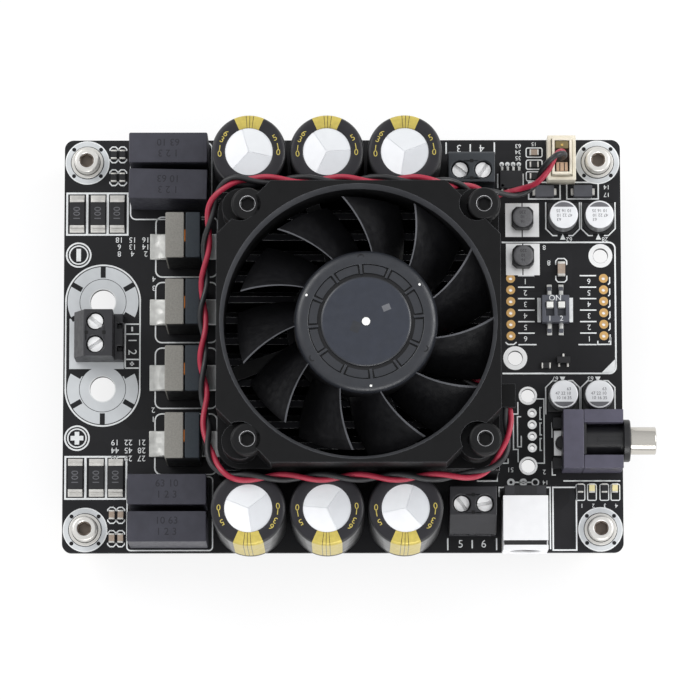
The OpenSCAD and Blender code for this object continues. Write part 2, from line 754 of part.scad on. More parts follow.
module pole_cuts() {
    room_w = cage_w + 2 * slide_gap;
    room_l = cage_l + 2 * slide_gap;
    block([room_w, room_l, term_web_z - cage_z], [0, 0, cage_z]);
    translate([0, 0, term_web_z - eps])
        cylinder(d = term_screw_d + 2 * thread_gap, h = term_web_t + 2 * eps);
    translate([0, 0, term_web_z + term_web_t]) cylinder(d = term_head_d + 0.6, h = term_h);
    translate([-wire_way / 2, -term_depth, cage_z + cage_wall]) cube([wire_way, term_depth, wire_way]);
}

module terminal_screw(t, k) {
    color([0.75, 0.75, 0.76]) at_terminal(t) at_pole(k) translate([0, 0, term_web_z + term_web_t])
        difference() {
            union() {
                cylinder(d = term_head_d, h = term_head_h);
                translate([0, 0, -term_web_t - term_web_z + cage_z + cage_wall + clamp_travel + 0.4])
                    cylinder(d = term_screw_d, h = term_web_t + term_web_z - cage_z - cage_wall - clamp_travel);
            }
            block([term_head_d, 0.7, term_head_h], [0, 0, term_head_h / 2]);
        }
}

module terminal_clamp(t, k) {
    color([0.78, 0.74, 0.6]) at_terminal(t) at_pole(k) difference() {
        block([cage_w, cage_l, cage_h], [0, 0, cage_z]);
        block([cage_w - 2 * cage_wall, cage_l + 1, cage_h - 2 * cage_wall], [0, 0, cage_z + cage_wall]);
        translate([0, 0, cage_z + cage_wall]) cylinder(d = term_screw_d + 2 * thread_gap, h = cage_h);
    }
}

// Switch, jacks and small parts

module switch_slot(k, extra, h) {
    block([slot_w + extra, knob_l + switch_travel + extra, h],
          [switch_x + (k - 0.5) * switch_pitch, switch_y, top + switch_h - slot_depth]);
}

module switch_body() {
    color([0.16, 0.16, 0.17]) difference() {
        union() {
            block([switch_w, switch_w, switch_h], [switch_x, switch_y, top]);
            for (k = [0, 1], s = [-1, 1])
                block([1, 2.2, 0.5], [switch_x + (k - 0.5) * switch_pitch, switch_y + s * (switch_w / 2 + 1), top]);
        }
        for (k = [0, 1]) switch_slot(k, 2 * slide_gap, slot_depth + 1);
    }
}

module switch_slider(k) {
    color([0.9, 0.9, 0.88])
        block([slot_w, knob_l, slot_depth + knob_rise],
              [switch_x + (k - 0.5) * switch_pitch, switch_y + switch_travel / 2, top + switch_h - slot_depth]);
}

module along_jack() {
    translate([jack_x, jack_y, top + jack_axis_h]) rotate([0, 90, 0]) children();
}

module jack_body() {
    recess_x = 4.5;
    color([0.3, 0.3, 0.34]) difference() {
        union() {
            difference() {
                block([jack_l, jack_w, jack_h], [jack_x + jack_l / 2, jack_y, top]);
                block([jack_l, jack_recess_w, jack_h],
                      [jack_x + jack_l / 2 + recess_x, jack_y, top + jack_axis_h]);
            }
            along_jack() cylinder(d = jack_recess_w, h = jack_l);
            along_jack() translate([0, 0, jack_l]) cylinder(r = flange_r, h = flange_t);
            for (s = [-1, 1]) block([2, 2.2, 3], [jack_x - 1, jack_y + s * (jack_w / 2 - 2), top]);
        }
        along_jack() translate([0, 0, 4]) cylinder(d = jack_bore_d, h = jack_l + flange_t);
        along_jack() translate([0, 0, jack_l]) cylinder(d = barrel_d, h = flange_t + 1);
    }
}

module jack_barrel() {
    color([0.8, 0.79, 0.76]) along_jack() translate([0, 0, jack_l])
        ring(barrel_d / 2, jack_bore_d / 2, flange_t + barrel_l);
}

module along_dc() {
    translate([dc_x, dc_front, top + dc_axis_h]) rotate([-90, 0, 0]) children();
}

module dc_jack_body() {
    side = dc_w / 2 - dc_shell_t - 0.05;
    color([0.1, 0.1, 0.1]) difference() {
        translate([dc_x - side, dc_front + 2 * dc_shell_t + 0.05, top])
            cube([2 * side, dc_back - dc_front - 2 * dc_shell_t - 0.05, dc_h - dc_shell_t - 0.05]);
        along_dc() translate([0, 0, -1]) cylinder(d = dc_bore_d, h = dc_depth + 1);
        along_dc() cylinder(d = dc_pin_d, h = dc_depth + 2);
    }
}

module dc_jack_shell() {
    slot_y = 1;
    slot_w_y = 1;
    depth = dc_shell_back - dc_front;
    color([0.86, 0.86, 0.87]) difference() {
        translate([dc_x - dc_w / 2, dc_front, top]) cube([dc_w, depth, dc_h]);
        translate([dc_x - dc_w / 2 + dc_shell_t, dc_front + 2 * dc_shell_t, top - eps])
            cube([dc_w - 2 * dc_shell_t, depth, dc_h - dc_shell_t + eps]);
        translate([dc_x - dc_w / 2 - 1, dc_front + slot_y, top + dc_h - 2]) cube([dc_w + 2, slot_w_y, 3]);
        along_dc() translate([0, 0, -1]) cylinder(d = dc_bore_d + 0.2, h = 2);
    }
}

module dc_jack_pin() {
    color([0.8, 0.8, 0.78]) along_dc() translate([0, 0, 1.5]) cylinder(d = dc_pin_d, h = dc_depth + 0.5);
}

module gull_leads(size, count, pitch, at) {
    for (s = [-1, 1], i = [0:count - 1])
        block([0.45, 1.2, 0.5], [at[0] + (i - (count - 1) / 2) * pitch, at[1] + s * (size[1] / 2 + 0.4), at[2]]);
}

module driver_chip() {
    place = [driver_place[0], driver_place[1], top];
    color([0.17, 0.17, 0.18]) {
        block(driver_size, place);
        gull_leads(driver_size, 4, 1.27, place);
    }
}

module sense_resistors() {
    color([0.2, 0.2, 0.21]) for (x = shunt_x, y = shunt_y) block(shunt_size, [x - half_w, y, top]);
}

module surface_parts() {
    color([0.55, 0.48, 0.38]) {
        for (p = concat(left_chips, right_chips, lower_chips)) block(chip_size, [p[0], p[1], top]);
        for (p = diodes) block(diode_size, [p[0], p[1], top]);
        block([3.2, 1.7, 1.2], [large_chip[0], large_chip[1], top]);
        block([2.9, 1.4, 1.1], [transistor[0], transistor[1], top]);
    }
}

// Each node is drawn by its own name

pcb();
standoffs();
mounting_screws();
mounting_washers();
amplifier_chip();
heatsink();
heatsink_screws();
fan_frame();
fan_stator();
fan_bearing();
fan_shaft();
fan_magnet();
fan_rotor();
fan_screws();
fan_lead();
fan_plug();
fan_header();
for (i = [0:5]) bulk_capacitor(i);
for (i = [0:3]) film_capacitor(i);
for (i = [0:core_count - 1])
    output_inductor_core(i);
output_inductor_windings();
for (t = [0:2]) terminal_housing(t);
for (t = [0:2], k = [0, 1])
    terminal_screw(t, k);
for (t = [0:2], k = [0, 1])
    terminal_clamp(t, k);
switch_body();
for (k = [0, 1]) switch_slider(k);
jack_body();
jack_barrel();
dc_jack_body();
dc_jack_shell();
dc_jack_pin();
small_capacitors();
power_inductors();
driver_chip();
sense_resistors();
surface_parts();
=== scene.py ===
"""Looks of a fan-cooled audio amplifier board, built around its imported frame.

Places and sizes are millimetres in the frame's own axes, and become metres when a piece is made.
"""

import math

import bmesh
import bpy
from mathutils import Matrix, Vector


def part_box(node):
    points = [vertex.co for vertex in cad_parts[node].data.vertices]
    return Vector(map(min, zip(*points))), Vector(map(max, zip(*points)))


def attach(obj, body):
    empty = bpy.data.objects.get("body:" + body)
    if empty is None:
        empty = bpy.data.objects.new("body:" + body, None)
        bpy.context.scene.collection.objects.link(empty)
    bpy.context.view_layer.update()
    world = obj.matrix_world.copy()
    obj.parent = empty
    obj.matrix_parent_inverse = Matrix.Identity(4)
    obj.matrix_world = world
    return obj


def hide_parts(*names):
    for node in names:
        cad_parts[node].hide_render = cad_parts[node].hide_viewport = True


MM = 0.001

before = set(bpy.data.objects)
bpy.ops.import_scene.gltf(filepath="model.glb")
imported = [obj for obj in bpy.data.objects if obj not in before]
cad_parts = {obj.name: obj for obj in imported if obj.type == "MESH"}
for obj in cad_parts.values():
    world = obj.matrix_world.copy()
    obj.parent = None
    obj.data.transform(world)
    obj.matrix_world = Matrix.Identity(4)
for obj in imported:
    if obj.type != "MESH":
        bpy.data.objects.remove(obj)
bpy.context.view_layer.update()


# Places read from the frame

def low(node):
    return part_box(node)[0] / MM


def high(node):
    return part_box(node)[1] / MM


def middle(node):
    return (low(node) + high(node)) / 2


TOP = high("pcb").z
BOTTOM = low("pcb").z
EDGE_X = high("pcb").x
EDGE_Y = high("pcb").y
FAN = middle("fan_frame")
FAN_TOP = high("fan_frame").z
FAN_HALF = (high("heatsink").x - low("heatsink").x) / 2
HUB_TOP = high("fan_rotor").z
FAN_HEAD_R = 3.5
FAN_HEAD_H = 4.0
FAN_HOLE = (high("fan_screws").x - low("fan_screws").x) / 2 - FAN_HEAD_R


# Mesh building

TUBE_SIDES = 12
BEVEL_STEPS = 2
CORNER_STEPS = 5
SMOOTH_ANGLE = math.radians(38)


class Shape:
    """Closed shapes gathered in millimetres. Each face carries the number of its material."""

    def __init__(self):
        self.verts = []
        self.faces = []
        self.paint = []

    def add(self, verts, faces, paint=0, place=None):
        base = len(self.verts)
        self.verts += [place @ Vector(v) if place else Vector(v) for v in verts]
        self.faces += [[base + i for i in face] for face in faces]
        self.paint += paint if isinstance(paint, list) else [paint] * len(faces)

    def skin(self, rows, paint=0, endless=False, place=None):
        """Faces round each row of points and on to the next row, and a cap on both ends unless endless.

        Seen from the last row, the points of a row run counter-clockwise.
        """
        colour = paint if callable(paint) else lambda row, k: paint
        n, count = len(rows[0]), len(rows)
        faces, colours = [], []
        for i in range(count if endless else count - 1):
            a, b = i * n, (i + 1) % count * n
            faces += [[a + k, a + (k + 1) % n, b + (k + 1) % n, b + k] for k in range(n)]
            colours += [colour(i, k) for k in range(n)]
        if not endless:
            faces += [list(range(n - 1, -1, -1)), list(range((count - 1) * n, count * n))]
            colours += [colour(0, 0), colour(count - 1, 0)]
        self.add([p for row in rows for p in row], faces, colours, place)

    def prism(self, outline, z0, z1, paint=0, bevel=0.0, place=None):
        """An outline drawn counter-clockwise and raised from z0 to z1."""
        solid = Shape()
        solid.skin([[(x, y, z) for x, y in outline] for z in (z0, z1)])
        verts, faces = bevelled(solid.verts, solid.faces, bevel) if bevel else (solid.verts, solid.faces)
        self.add(verts, faces, paint, place)

    def box(self, x, y, z, paint=0, bevel=0.0, place=None):
        """A block over the ranges x, y and z."""
        self.prism(rectangle(x, y), *z, paint, bevel, place)

    def lathe(self, profile, steps, paint=0, place=None, closed=False):
        """A profile of (radius, height) pairs, drawn with the inside on its left, turned round Z."""
        rows = [[(x, y, z) for x, y in circle((0, 0), r, steps)] for r, z in profile]
        by_angle = (lambda row, k: paint(row, 360 * (k + 0.5) / steps)) if callable(paint) else paint
        self.skin(rows, by_angle, closed, place)

    def ring(self, at, inner, outer, z0, z1, paint=0, steps=40, start=0.0, sweep=360.0):
        """A flat ring, or a part of one from the angle start over sweep degrees."""
        near, far = (circle(at, r, steps, start, sweep) for r in (inner, outer))
        rows = [[(*a, z1), (*b, z1), (*b, z0), (*a, z0)] for a, b in zip(near, far)]
        self.skin(rows, paint, sweep >= 360)

    def disc(self, at, radius, z0, z1, steps):
        self.prism(circle(at, radius, steps), z0, z1)

    def stroke(self, points, width, z0, z1, paint=0, closed=False):
        """A line of even width along points, with mitred corners."""
        pts = [Vector(p) for p in points]
        rows = []
        for i, p in enumerate(pts):
            before = pts[i - 1] if i or closed else None
            after = pts[(i + 1) % len(pts)] if i < len(pts) - 1 or closed else None
            ways = [(b - a).normalized() for a, b in ((before, p), (p, after)) if a and b]
            way = sum(ways, Vector((0, 0))).normalized()
            stretch = max(0.5, way.dot(ways[0]))
            out = Vector((-way.y, way.x)) * width / 2 / stretch
            left, right = p + out, p - out
            rows.append([(*left, z0), (*left, z1), (*right, z1), (*right, z0)])
        self.skin(rows, paint, closed)

    def tube(self, line, radius, paint):
        """A round bar along a smooth line of points."""
        rows = []
        for p, way, side in frames_along(line, (line[1] - line[0]).orthogonal()):
            other = way.cross(side)
            rows.append([p + side * x + other * y for x, y in circle((0, 0), radius, TUBE_SIDES)])
        self.skin(rows, paint)

    def words(self, text, at, size, z0, z1, turn=0.0, paint=0):
        """Plain numbers or signs, centred on a place of the board."""
        curve = bpy.data.curves.new("glyphs", "FONT")
        curve.body = text
        curve.size = size
        curve.align_x = "CENTER"
        curve.align_y = "CENTER"
        curve.extrude = (z1 - z0) / 2
        curve.resolution_u = 3
        holder = bpy.data.objects.new("glyphs", curve)
        mesh = bpy.data.meshes.new_from_object(holder)
        place = standing(at, turn, (z0 + z1) / 2)
        self.add([v.co for v in mesh.vertices], [list(p.vertices) for p in mesh.polygons], paint, place)
        bpy.data.objects.remove(holder)
        bpy.data.curves.remove(curve)
        bpy.data.meshes.remove(mesh)


def bevelled(verts, faces, width):
    """The same closed shape with its edges rounded."""
    mesh = bmesh.new()
    corners = [mesh.verts.new(v) for v in verts]
    for face in faces:
        mesh.faces.new([corners[i] for i in face])
    bmesh.ops.bevel(mesh, geom=mesh.edges[:], offset=width, segments=BEVEL_STEPS, profile=0.5,
                    affect="EDGES", clamp_overlap=True)
    mesh.verts.index_update()
    result = ([v.co.copy() for v in mesh.verts], [[v.index for v in face.verts] for face in mesh.faces])
    mesh.free()
    return result


def polar(at, radius, angle):
    """The point at a distance and an angle in degrees from a place."""
    a = math.radians(angle)
    return at[0] + radius * math.cos(a), at[1] + radius * math.sin(a)


def circle(at, radius, steps, start=0.0, sweep=360.0):
    """Points round a place, counter-clockwise."""
    count = steps if sweep >= 360 else steps + 1
    return [polar(at, radius, start + sweep * k / steps) for k in range(count)]


def rounded(x, y, radius):
    """Points of a rectangle with round corners, counter-clockwise."""
    points = []
    corners = [(x[1] - radius, y[0] + radius, -90), (x[1] - radius, y[1] - radius, 0),
               (x[0] + radius, y[1] - radius, 90), (x[0] + radius, y[0] + radius, 180)]
    for cx, cy, start in corners:
        points += circle((cx, cy), radius, CORNER_STEPS, start, 90)
    return points


def rectangle(x, y):
    return [(x[0], y[0]), (x[1], y[0]), (x[1], y[1]), (x[0], y[1])]


def span(mid, half):
    """The range of a length round its middle."""
    return mid - half, mid + half


def beyond(mid, way, near, far):
    """The range from near to far on one side of a middle, where way is 1 or -1."""
    return tuple(sorted((mid + way * near, mid + way * far)))


def around(at, w, h):
    """The x and y ranges of a rectangle round its middle."""
    return span(at[0], w / 2), span(at[1], h / 2)


def standing(at, turn=0.0, z=0.0):
    """The place of what stands at a spot of the board, turned by an angle in degrees."""
    return Matrix.Translation((at[0], at[1], z)) @ Matrix.Rotation(math.radians(turn), 4, "Z")


def frames_along(line, side):
    """Each point of a line with its direction, and the sideways direction carried along without a twist."""
    for i, p in enumerate(line):
        way = (line[min(i + 1, len(line) - 1)] - line[max(i - 1, 0)]).normalized()
        side = (side - way * side.dot(way)).normalized()
        yield p, way, side


def piece(name, shape, materials, slot, body="board", stands_for=()):
    """Makes one object of a shape, gives it its materials and rides it on a body."""
    mesh = bpy.data.meshes.new(name)
    mesh.from_pydata([v * MM for v in shape.verts], [], shape.faces)
    for material in materials:
        mesh.materials.append(material)
    mesh.polygons.foreach_set("material_index", shape.paint)
    mesh.shade_smooth()
    mesh.set_sharp_from_angle(angle=SMOOTH_ANGLE)
    mesh.validate()
    made = bpy.data.objects.new(name, mesh)
    bpy.context.scene.collection.objects.link(made)
    weighting = made.modifiers.new("even_shading", "WEIGHTED_NORMAL")
    weighting.keep_sharp = True
    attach(made, body)
    if stands_for:
        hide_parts(*stands_for)
    return made


def dress(node, material, bevel=0.0, steps=2):
    """Gives a node of the frame its finish, and rounds its edges by bevel millimetres."""
    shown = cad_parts[node]
    shown.data.materials.clear()
    shown.data.materials.append(material)
    if bevel:
        weld = shown.modifiers.new("weld", "WELD")
        weld.merge_threshold = 0.002 * MM
        edge = shown.modifiers.new("edges", "BEVEL")
        edge.width = bevel * MM
        edge.segments = steps
        edge.limit_method = "ANGLE"
        edge.angle_limit = math.radians(40)
        edge.harden_normals = True
    return shown


# Materials

def tone(r, g, b):
    """A colour as it shows on a screen, 0 to 255, as the linear values that shaders take."""
    values = [c / 255 for c in (r, g, b)]
    return [c / 12.92 if c <= 0.04045 else ((c + 0.055) / 1.055) ** 2.4 for c in values] + [1.0]


def shaded(colour, share):
    return [c * share for c in colour[:3]] + [1.0]


MOTTLE_RANGE = (0.3, 0.72)
GLOSS_RANGE = (0.3, 0.7)


class Tree:
    """The nodes of a material or of the world."""

    def __init__(self, owner):
        owner.use_nodes = True
        self.nodes = owner.node_tree.nodes
        self.links = owner.node_tree.links

    def feed(self, node, inputs):
        """Gives each named input a value, or a link where it is another node's output."""
        for name, value in inputs.items():
            if isinstance(value, bpy.types.NodeSocket):
                self.links.new(value, node.inputs[name])
            else:
                node.inputs[name].default_value = value

    def new(self, kind, inputs=None):
        node = self.nodes.new("ShaderNode" + kind)
        self.feed(node, inputs or {})
        return node

    def ramp(self, factor, colours, positions=(0, 1)):
        node = self.new("ValToRGB", {"Fac": factor})
        for element, colour, position in zip(node.color_ramp.elements, colours, positions):
            element.color = colour
            element.position = position
        return node.outputs["Color"]


class Finish(Tree):
    """A procedural material: mottled colour, uneven gloss and a fine surface grain."""

    def __init__(self, name, colour, rough, metal=0.0, specular=0.5, coat=0.0):
        self.material = bpy.data.materials.new(name)
        super().__init__(self.material)
        self.colour = colour
        self.rough = rough
        self.shader = self.nodes["Principled BSDF"]
        self.feed(self.shader, {"Base Color": colour, "Roughness": rough, "Metallic": metal,
                                "Specular IOR Level": specular, "Coat Weight": coat})
        self.place = self.new("TexCoord").outputs["Object"]
        self.heights = {}

    def noise(self, size, stretch=(1, 1, 1), detail=3.0):
        """Noise with features of about size millimetres, drawn out along the axes by stretch."""
        scale = [1 / (size * MM * s) for s in stretch]
        mapping = self.new("Mapping", {"Scale": scale, "Vector": self.place})
        texture = {"Scale": 1.0, "Detail": detail, "Vector": mapping.outputs["Vector"]}
        return self.new("TexNoise", texture).outputs["Fac"]

    def mottle(self, size, amount, stretch=(1, 1, 1)):
        """Colour that wanders by amount."""
        colours = [shaded(self.colour, 1 - amount), shaded(self.colour, 1 + amount)]
        self.feed(self.shader, {"Base Color": self.ramp(self.noise(size, stretch), colours, MOTTLE_RANGE)})
        return self

    def uneven(self, size, amount, stretch=(1, 1, 1)):
        """Gloss that wanders by amount."""
        limits = self.new("MapRange", {
            "Value": self.noise(size, stretch), "From Min": GLOSS_RANGE[0], "From Max": GLOSS_RANGE[1],
            "To Min": max(0.02, self.rough - amount), "To Max": min(1.0, self.rough + amount)})
        self.feed(self.shader, {"Roughness": limits.outputs["Result"]})
        return self

    def grain(self, size, depth, stretch=(1, 1, 1), detail=3.0):
        """Surface relief with features of about size millimetres and depth millimetres deep."""
        bump = self.new("Bump", {"Distance": depth * MM, "Height": self.noise(size, stretch, detail)})
        self.feed(bump, self.heights)
        self.heights = {"Normal": bump.outputs["Normal"]}
        self.feed(self.shader, self.heights)
        return self


def moulded(name, colour, rough, specular=0.4, texture=0.012):
    """Moulded plastic with a fine eroded texture."""
    finish = Finish(name, colour, rough, specular=specular)
    return finish.mottle(2.5, 0.1).uneven(1.2, 0.07).grain(0.18, texture).grain(3.0, 0.01).material


def metal(name, colour, rough, lines=(1, 1, 1)):
    """Bare metal with faint working marks."""
    finish = Finish(name, colour, rough, metal=1.0)
    return finish.mottle(2.6, 0.05, lines).uneven(1.8, 0.05, lines).grain(0.3, 0.004, lines).material


def plated(name, colour, rough, shine):
    """Pale plating, part white and part mirror, faintly clouded."""
    finish = Finish(name, colour, rough, metal=shine, specular=0.6)
    return finish.mottle(2.2, 0.025).uneven(1.2, 0.05).grain(0.12, 0.0006).material


def solder(name, colour):
    """Tin that ran and set, in soft lumps with a few dull spots."""
    finish = Finish(name, colour, 0.4, metal=0.28, specular=0.6)
    return finish.mottle(1.8, 0.14).uneven(1.5, 0.1).grain(2.1, 0.3, detail=0.8).grain(0.25, 0.003).material


def solder_mask():
    """Black board lacquer over copper areas, glass weave showing faintly through."""
    finish = Finish("solder_mask", tone(28, 28, 30), 0.5, specular=0.2)
    areas = finish.new("TexVoronoi", {"Scale": 95.0, "Vector": finish.place})
    areas.distance = "CHEBYCHEV"
    colours = [shaded(finish.colour, share) for share in (0.84, 1.22)]
    finish.feed(finish.shader, {"Base Color": finish.ramp(areas.outputs["Color"], colours)})
    finish.uneven(2.2, 0.06)
    finish.grain(0.5, 0.004, (6, 0.5, 1)).grain(0.5, 0.004, (0.5, 6, 1)).grain(6.0, 0.02)
    return finish.material


def silk_print():
    """White printed ink, a little thin in places."""
    finish = Finish("silk_print", tone(222, 224, 224), 0.6, specular=0.3)
    return finish.mottle(0.6, 0.06).grain(0.12, 0.004).material


def silver_print():
    """The pale tinned fields round the screws and the loudspeaker posts."""
    finish = Finish("tinned_field", tone(200, 203, 205), 0.48, metal=0.15, specular=0.5)
    return finish.mottle(3.5, 0.05).uneven(2.0, 0.1).grain(0.8, 0.01).material


def sleeve():
    """Shrunk sleeve of the bulk capacitors."""
    finish = Finish("can_sleeve", tone(27, 27, 29), 0.37, specular=0.55, coat=0.15)
    return finish.mottle(4.0, 0.12).uneven(3.0, 0.06).grain(2.2, 0.03).grain(0.15, 0.002).material


def sleeve_stripe():
    """Gold ink of the sleeve's stripe."""
    finish = Finish("sleeve_stripe", tone(190, 172, 84), 0.38, metal=0.2)
    return finish.mottle(0.8, 0.1).uneven(1.0, 0.08).grain(0.2, 0.004).material


def wire_cover(name, colour):
    finish = Finish(name, colour, 0.42, specular=0.45)
    return finish.mottle(3.0, 0.12).uneven(1.5, 0.08).grain(0.3, 0.006).grain(2.0, 0.02).material


def ferrite(name, colour):
    """Pressed iron powder: fine specks in a ground face."""
    finish = Finish(name, colour, 0.55, specular=0.35)
    return finish.mottle(0.35, 0.12).uneven(0.8, 0.08).grain(0.12, 0.01).grain(1.5, 0.01).material


MASK = solder_mask()
SILK = silk_print()
FIELD = silver_print()
TIN = solder("tin", tone(196, 196, 192))
LAND = solder("chip_land", tone(204, 202, 197))
BARE_TIN = plated("bare_tin", tone(244, 244, 243), 0.36, 0.7)
GOLD = metal("gold_plate", tone(222, 180, 118), 0.36)
BRASS = metal("brass", tone(214, 184, 110), 0.36)
STEEL = plated("bright_steel", tone(214, 212, 207), 0.36, 0.6)
# Dark brown for the inside of a steel screw's socket: painted shade.
SOCKET_SHADE = plated("screw_socket_shade", tone(100, 89, 79), 0.5, 0.3)
# Pale grey for the ring at a black screw's socket edge: painted highlight.
SOCKET_EDGE_HIGHLIGHT = plated("socket_edge_highlight", tone(176, 176, 178), 0.4, 0.3)
BLACK_STEEL = moulded("black_steel", tone(14, 14, 15), 0.42, 0.2, 0.004)
ZINC = plated("zinc_plate", tone(240, 240, 240), 0.4, 0.15)
ALUMINIUM = plated("can_top", tone(242, 243, 245), 0.36, 0.4)
# Darker tones of the can top for two of the vent's faces: painted shade.
ALUMINIUM_SHADED = plated("can_top_shaded", tone(214, 216, 219), 0.36, 0.4)
ALUMINIUM_HALF_SHADED = plated("can_top_half_shaded", tone(229, 231, 233), 0.36, 0.4)
CAN = plated("small_can", tone(220, 221, 223), 0.36, 0.25)
CAN_INK = moulded("can_ink", tone(96, 96, 100), 0.5)
# A darker tone of the small can for its side: painted shade.
CAN_SIDE_SHADE = plated("can_side_shade", tone(150, 151, 153), 0.36, 0.6)
SLEEVE = sleeve()
# The sleeve's turned-over shoulder: a duller finish, with a base a touch lighter than the side as painted
# sheen.
SLEEVE_SHOULDER_SHEEN = moulded("sleeve_shoulder_sheen", tone(33, 32, 36), 0.45, 0.3)
STRIPE = sleeve_stripe()
FILM = moulded("film_box", tone(55, 55, 63), 0.5, 0.3)
FILM_INK = moulded("film_ink", tone(37, 37, 43), 0.6, 0.3)
CORE_GREY = ferrite("core_outer", tone(128, 126, 120))
CORE_SLATE = ferrite("core_inner", tone(36, 43, 49))
COPPER = metal("winding_copper", tone(186, 112, 58), 0.35)
# Flat dark paint for gaps, openings and shadow lines: painted shade.
PAINTED_SHADE = moulded("painted_shade", tone(14, 14, 15), 0.6, 0.3)
CHIP = moulded("chip_black", tone(34, 34, 36), 0.5, 0.35)
DIODE = moulded("diode_grey", tone(74, 75, 80), 0.5, 0.35)
TAN = ferrite("chip_tan", tone(158, 142, 128))
LAMP_LENS = moulded("lamp_lens", tone(226, 214, 160), 0.38, 0.5)
TERMINAL = moulded("terminal_grey", tone(43, 43, 46), 0.42, 0.4)
CONTROL = moulded("control_terminal_grey", tone(47, 51, 55), 0.42, 0.4)
CLAMP = metal("clamp_brass", tone(206, 194, 160), 0.34)
SWITCH = moulded("switch_grey", tone(78, 80, 88), 0.42, 0.45)
WHITE = moulded("white_plastic", tone(228, 228, 224), 0.4, 0.45)
IVORY = moulded("ivory_plastic", tone(214, 207, 190), 0.4, 0.4)
OLIVE = moulded("contact_olive", tone(110, 98, 66), 0.5, 0.3)
TAN_PLASTIC = moulded("contact_tan", tone(170, 142, 118), 0.5, 0.3)
# Dark brown for the plug's recess and grooves: painted shade.
PLUG_RECESS_SHADE = moulded("plug_recess_shade", tone(52, 42, 36), 0.6, 0.2)
JACK = moulded("jack_violet_grey", tone(74, 72, 86), 0.42, 0.45)
BLACK = moulded("black_plastic", tone(22, 22, 24), 0.38, 0.5)
NICKEL = metal("nickel", tone(206, 202, 194), 0.2, (8, 1, 1))
SHELL = plated("jack_shell", tone(236, 236, 237), 0.36, 0.25)
FAN_BLACK = moulded("fan_black", tone(13, 13, 14), 0.5, 0.16, 0.012)
# Paler tones of the fan plastic for the inlet flare and the edge bevels: painted highlight.
FAN_FLARE_HIGHLIGHT = moulded("fan_flare_highlight", tone(64, 65, 68), 0.38, 0.5, 0.016)
FAN_EDGE_HIGHLIGHT = moulded("fan_edge_highlight", tone(84, 85, 88), 0.38, 0.5, 0.008)
ROTOR_BLACK = moulded("rotor_black", tone(19, 19, 21), 0.38, 0.55, 0.006)
# Pale grey for the blades' upper edges, a painted highlight, and for one small mark on the hub.
BLADE_HIGHLIGHT_AND_HUB_MARK = moulded("blade_highlight_and_hub_mark", tone(92, 93, 97), 0.38, 0.5, 0.004)
HUB = moulded("hub_grey", tone(34, 36, 41), 0.37, 0.5, 0.006)
# The hub's middle disc: the same plastic in a bluer tone, a painted sheen.
HUB_DISC_SHEEN = moulded("hub_disc_sheen", tone(34, 38, 48), 0.37, 0.5, 0.003)
# Near black for the hub's groove and small sunk rings: painted shade.
HUB_RECESS_SHADE = moulded("hub_recess_shade", tone(16, 16, 19), 0.4, 0.4)
HEATSINK = metal("black_anodised", tone(30, 30, 32), 0.5, (6, 1, 1))
# Near white paint for the heatsink's edge bevels: painted highlight.
FIN_EDGE_HIGHLIGHT = plated("fin_edge_highlight", tone(236, 236, 238), 0.45, 0.2)
LAMINATION = metal("stator_iron", tone(150, 112, 76), 0.5)
BEARING = metal("bearing_bronze", tone(196, 160, 96), 0.42)
MAGNET = ferrite("magnet_ferrite", tone(52, 50, 48))
DRUM = ferrite("drum_grey", tone(92, 92, 94))
RED = wire_cover("wire_red", tone(158, 38, 60))
BLACK_WIRE = wire_cover("wire_black", tone(34, 34, 36))


# Board: print, tinned fields and plated holes

INK = (TOP - 0.01, TOP + 0.035)
TINNED = (TOP - 0.01, TOP + 0.05)
LINE = 0.34


class Board:
    """What lies flat on the board, one shape for each kind."""
    print = Shape()
    field = Shape()
    tin = Shape()
    land = Shape()
    bare = Shape()
    gold = Shape()
    dark = Shape()


def ink(points, closed=False, width=LINE):
    Board.print.stroke(points, width, *INK, closed=closed)


def ink_box(x, y, radius=0.0, width=LINE):
    ink(rounded(x, y, radius) if radius else rectangle(x, y), True, width)


def ink_words(text, at, size, turn):
    Board.print.words(text, at, size, *INK, turn=turn)


CORNERS = [(sx, sy) for sx in (-1, 1) for sy in (-1, 1)]
HOLE_INSET = 5
HOLES = [(sx * (EDGE_X - HOLE_INSET), sy * (EDGE_Y - HOLE_INSET)) for sx, sy in CORNERS]
HOLE_R = 1.65
FIELD_R = 4.8


def corner_fields():
    """Round tinned fields at the mounting holes, each with four dark vias."""
    for at in HOLES:
        Board.field.ring(at, HOLE_R, FIELD_R, *TINNED, steps=64)
        Board.print.ring(at, 4.62, 4.85, TOP, TOP + 0.06, steps=64)
        # A thin dark ring just outside the washer's edge: painted shadow.
        Board.dark.ring(at, 3.52, 3.66, TOP, TOP + 0.058, steps=64)
        for via in circle(at, 4.17, 4, 45):
            Board.dark.disc(via, 0.46, TOP, TOP + 0.06, 8)


POST_X = -52.4
POST_Y = 9.6
POST_R = 8.2


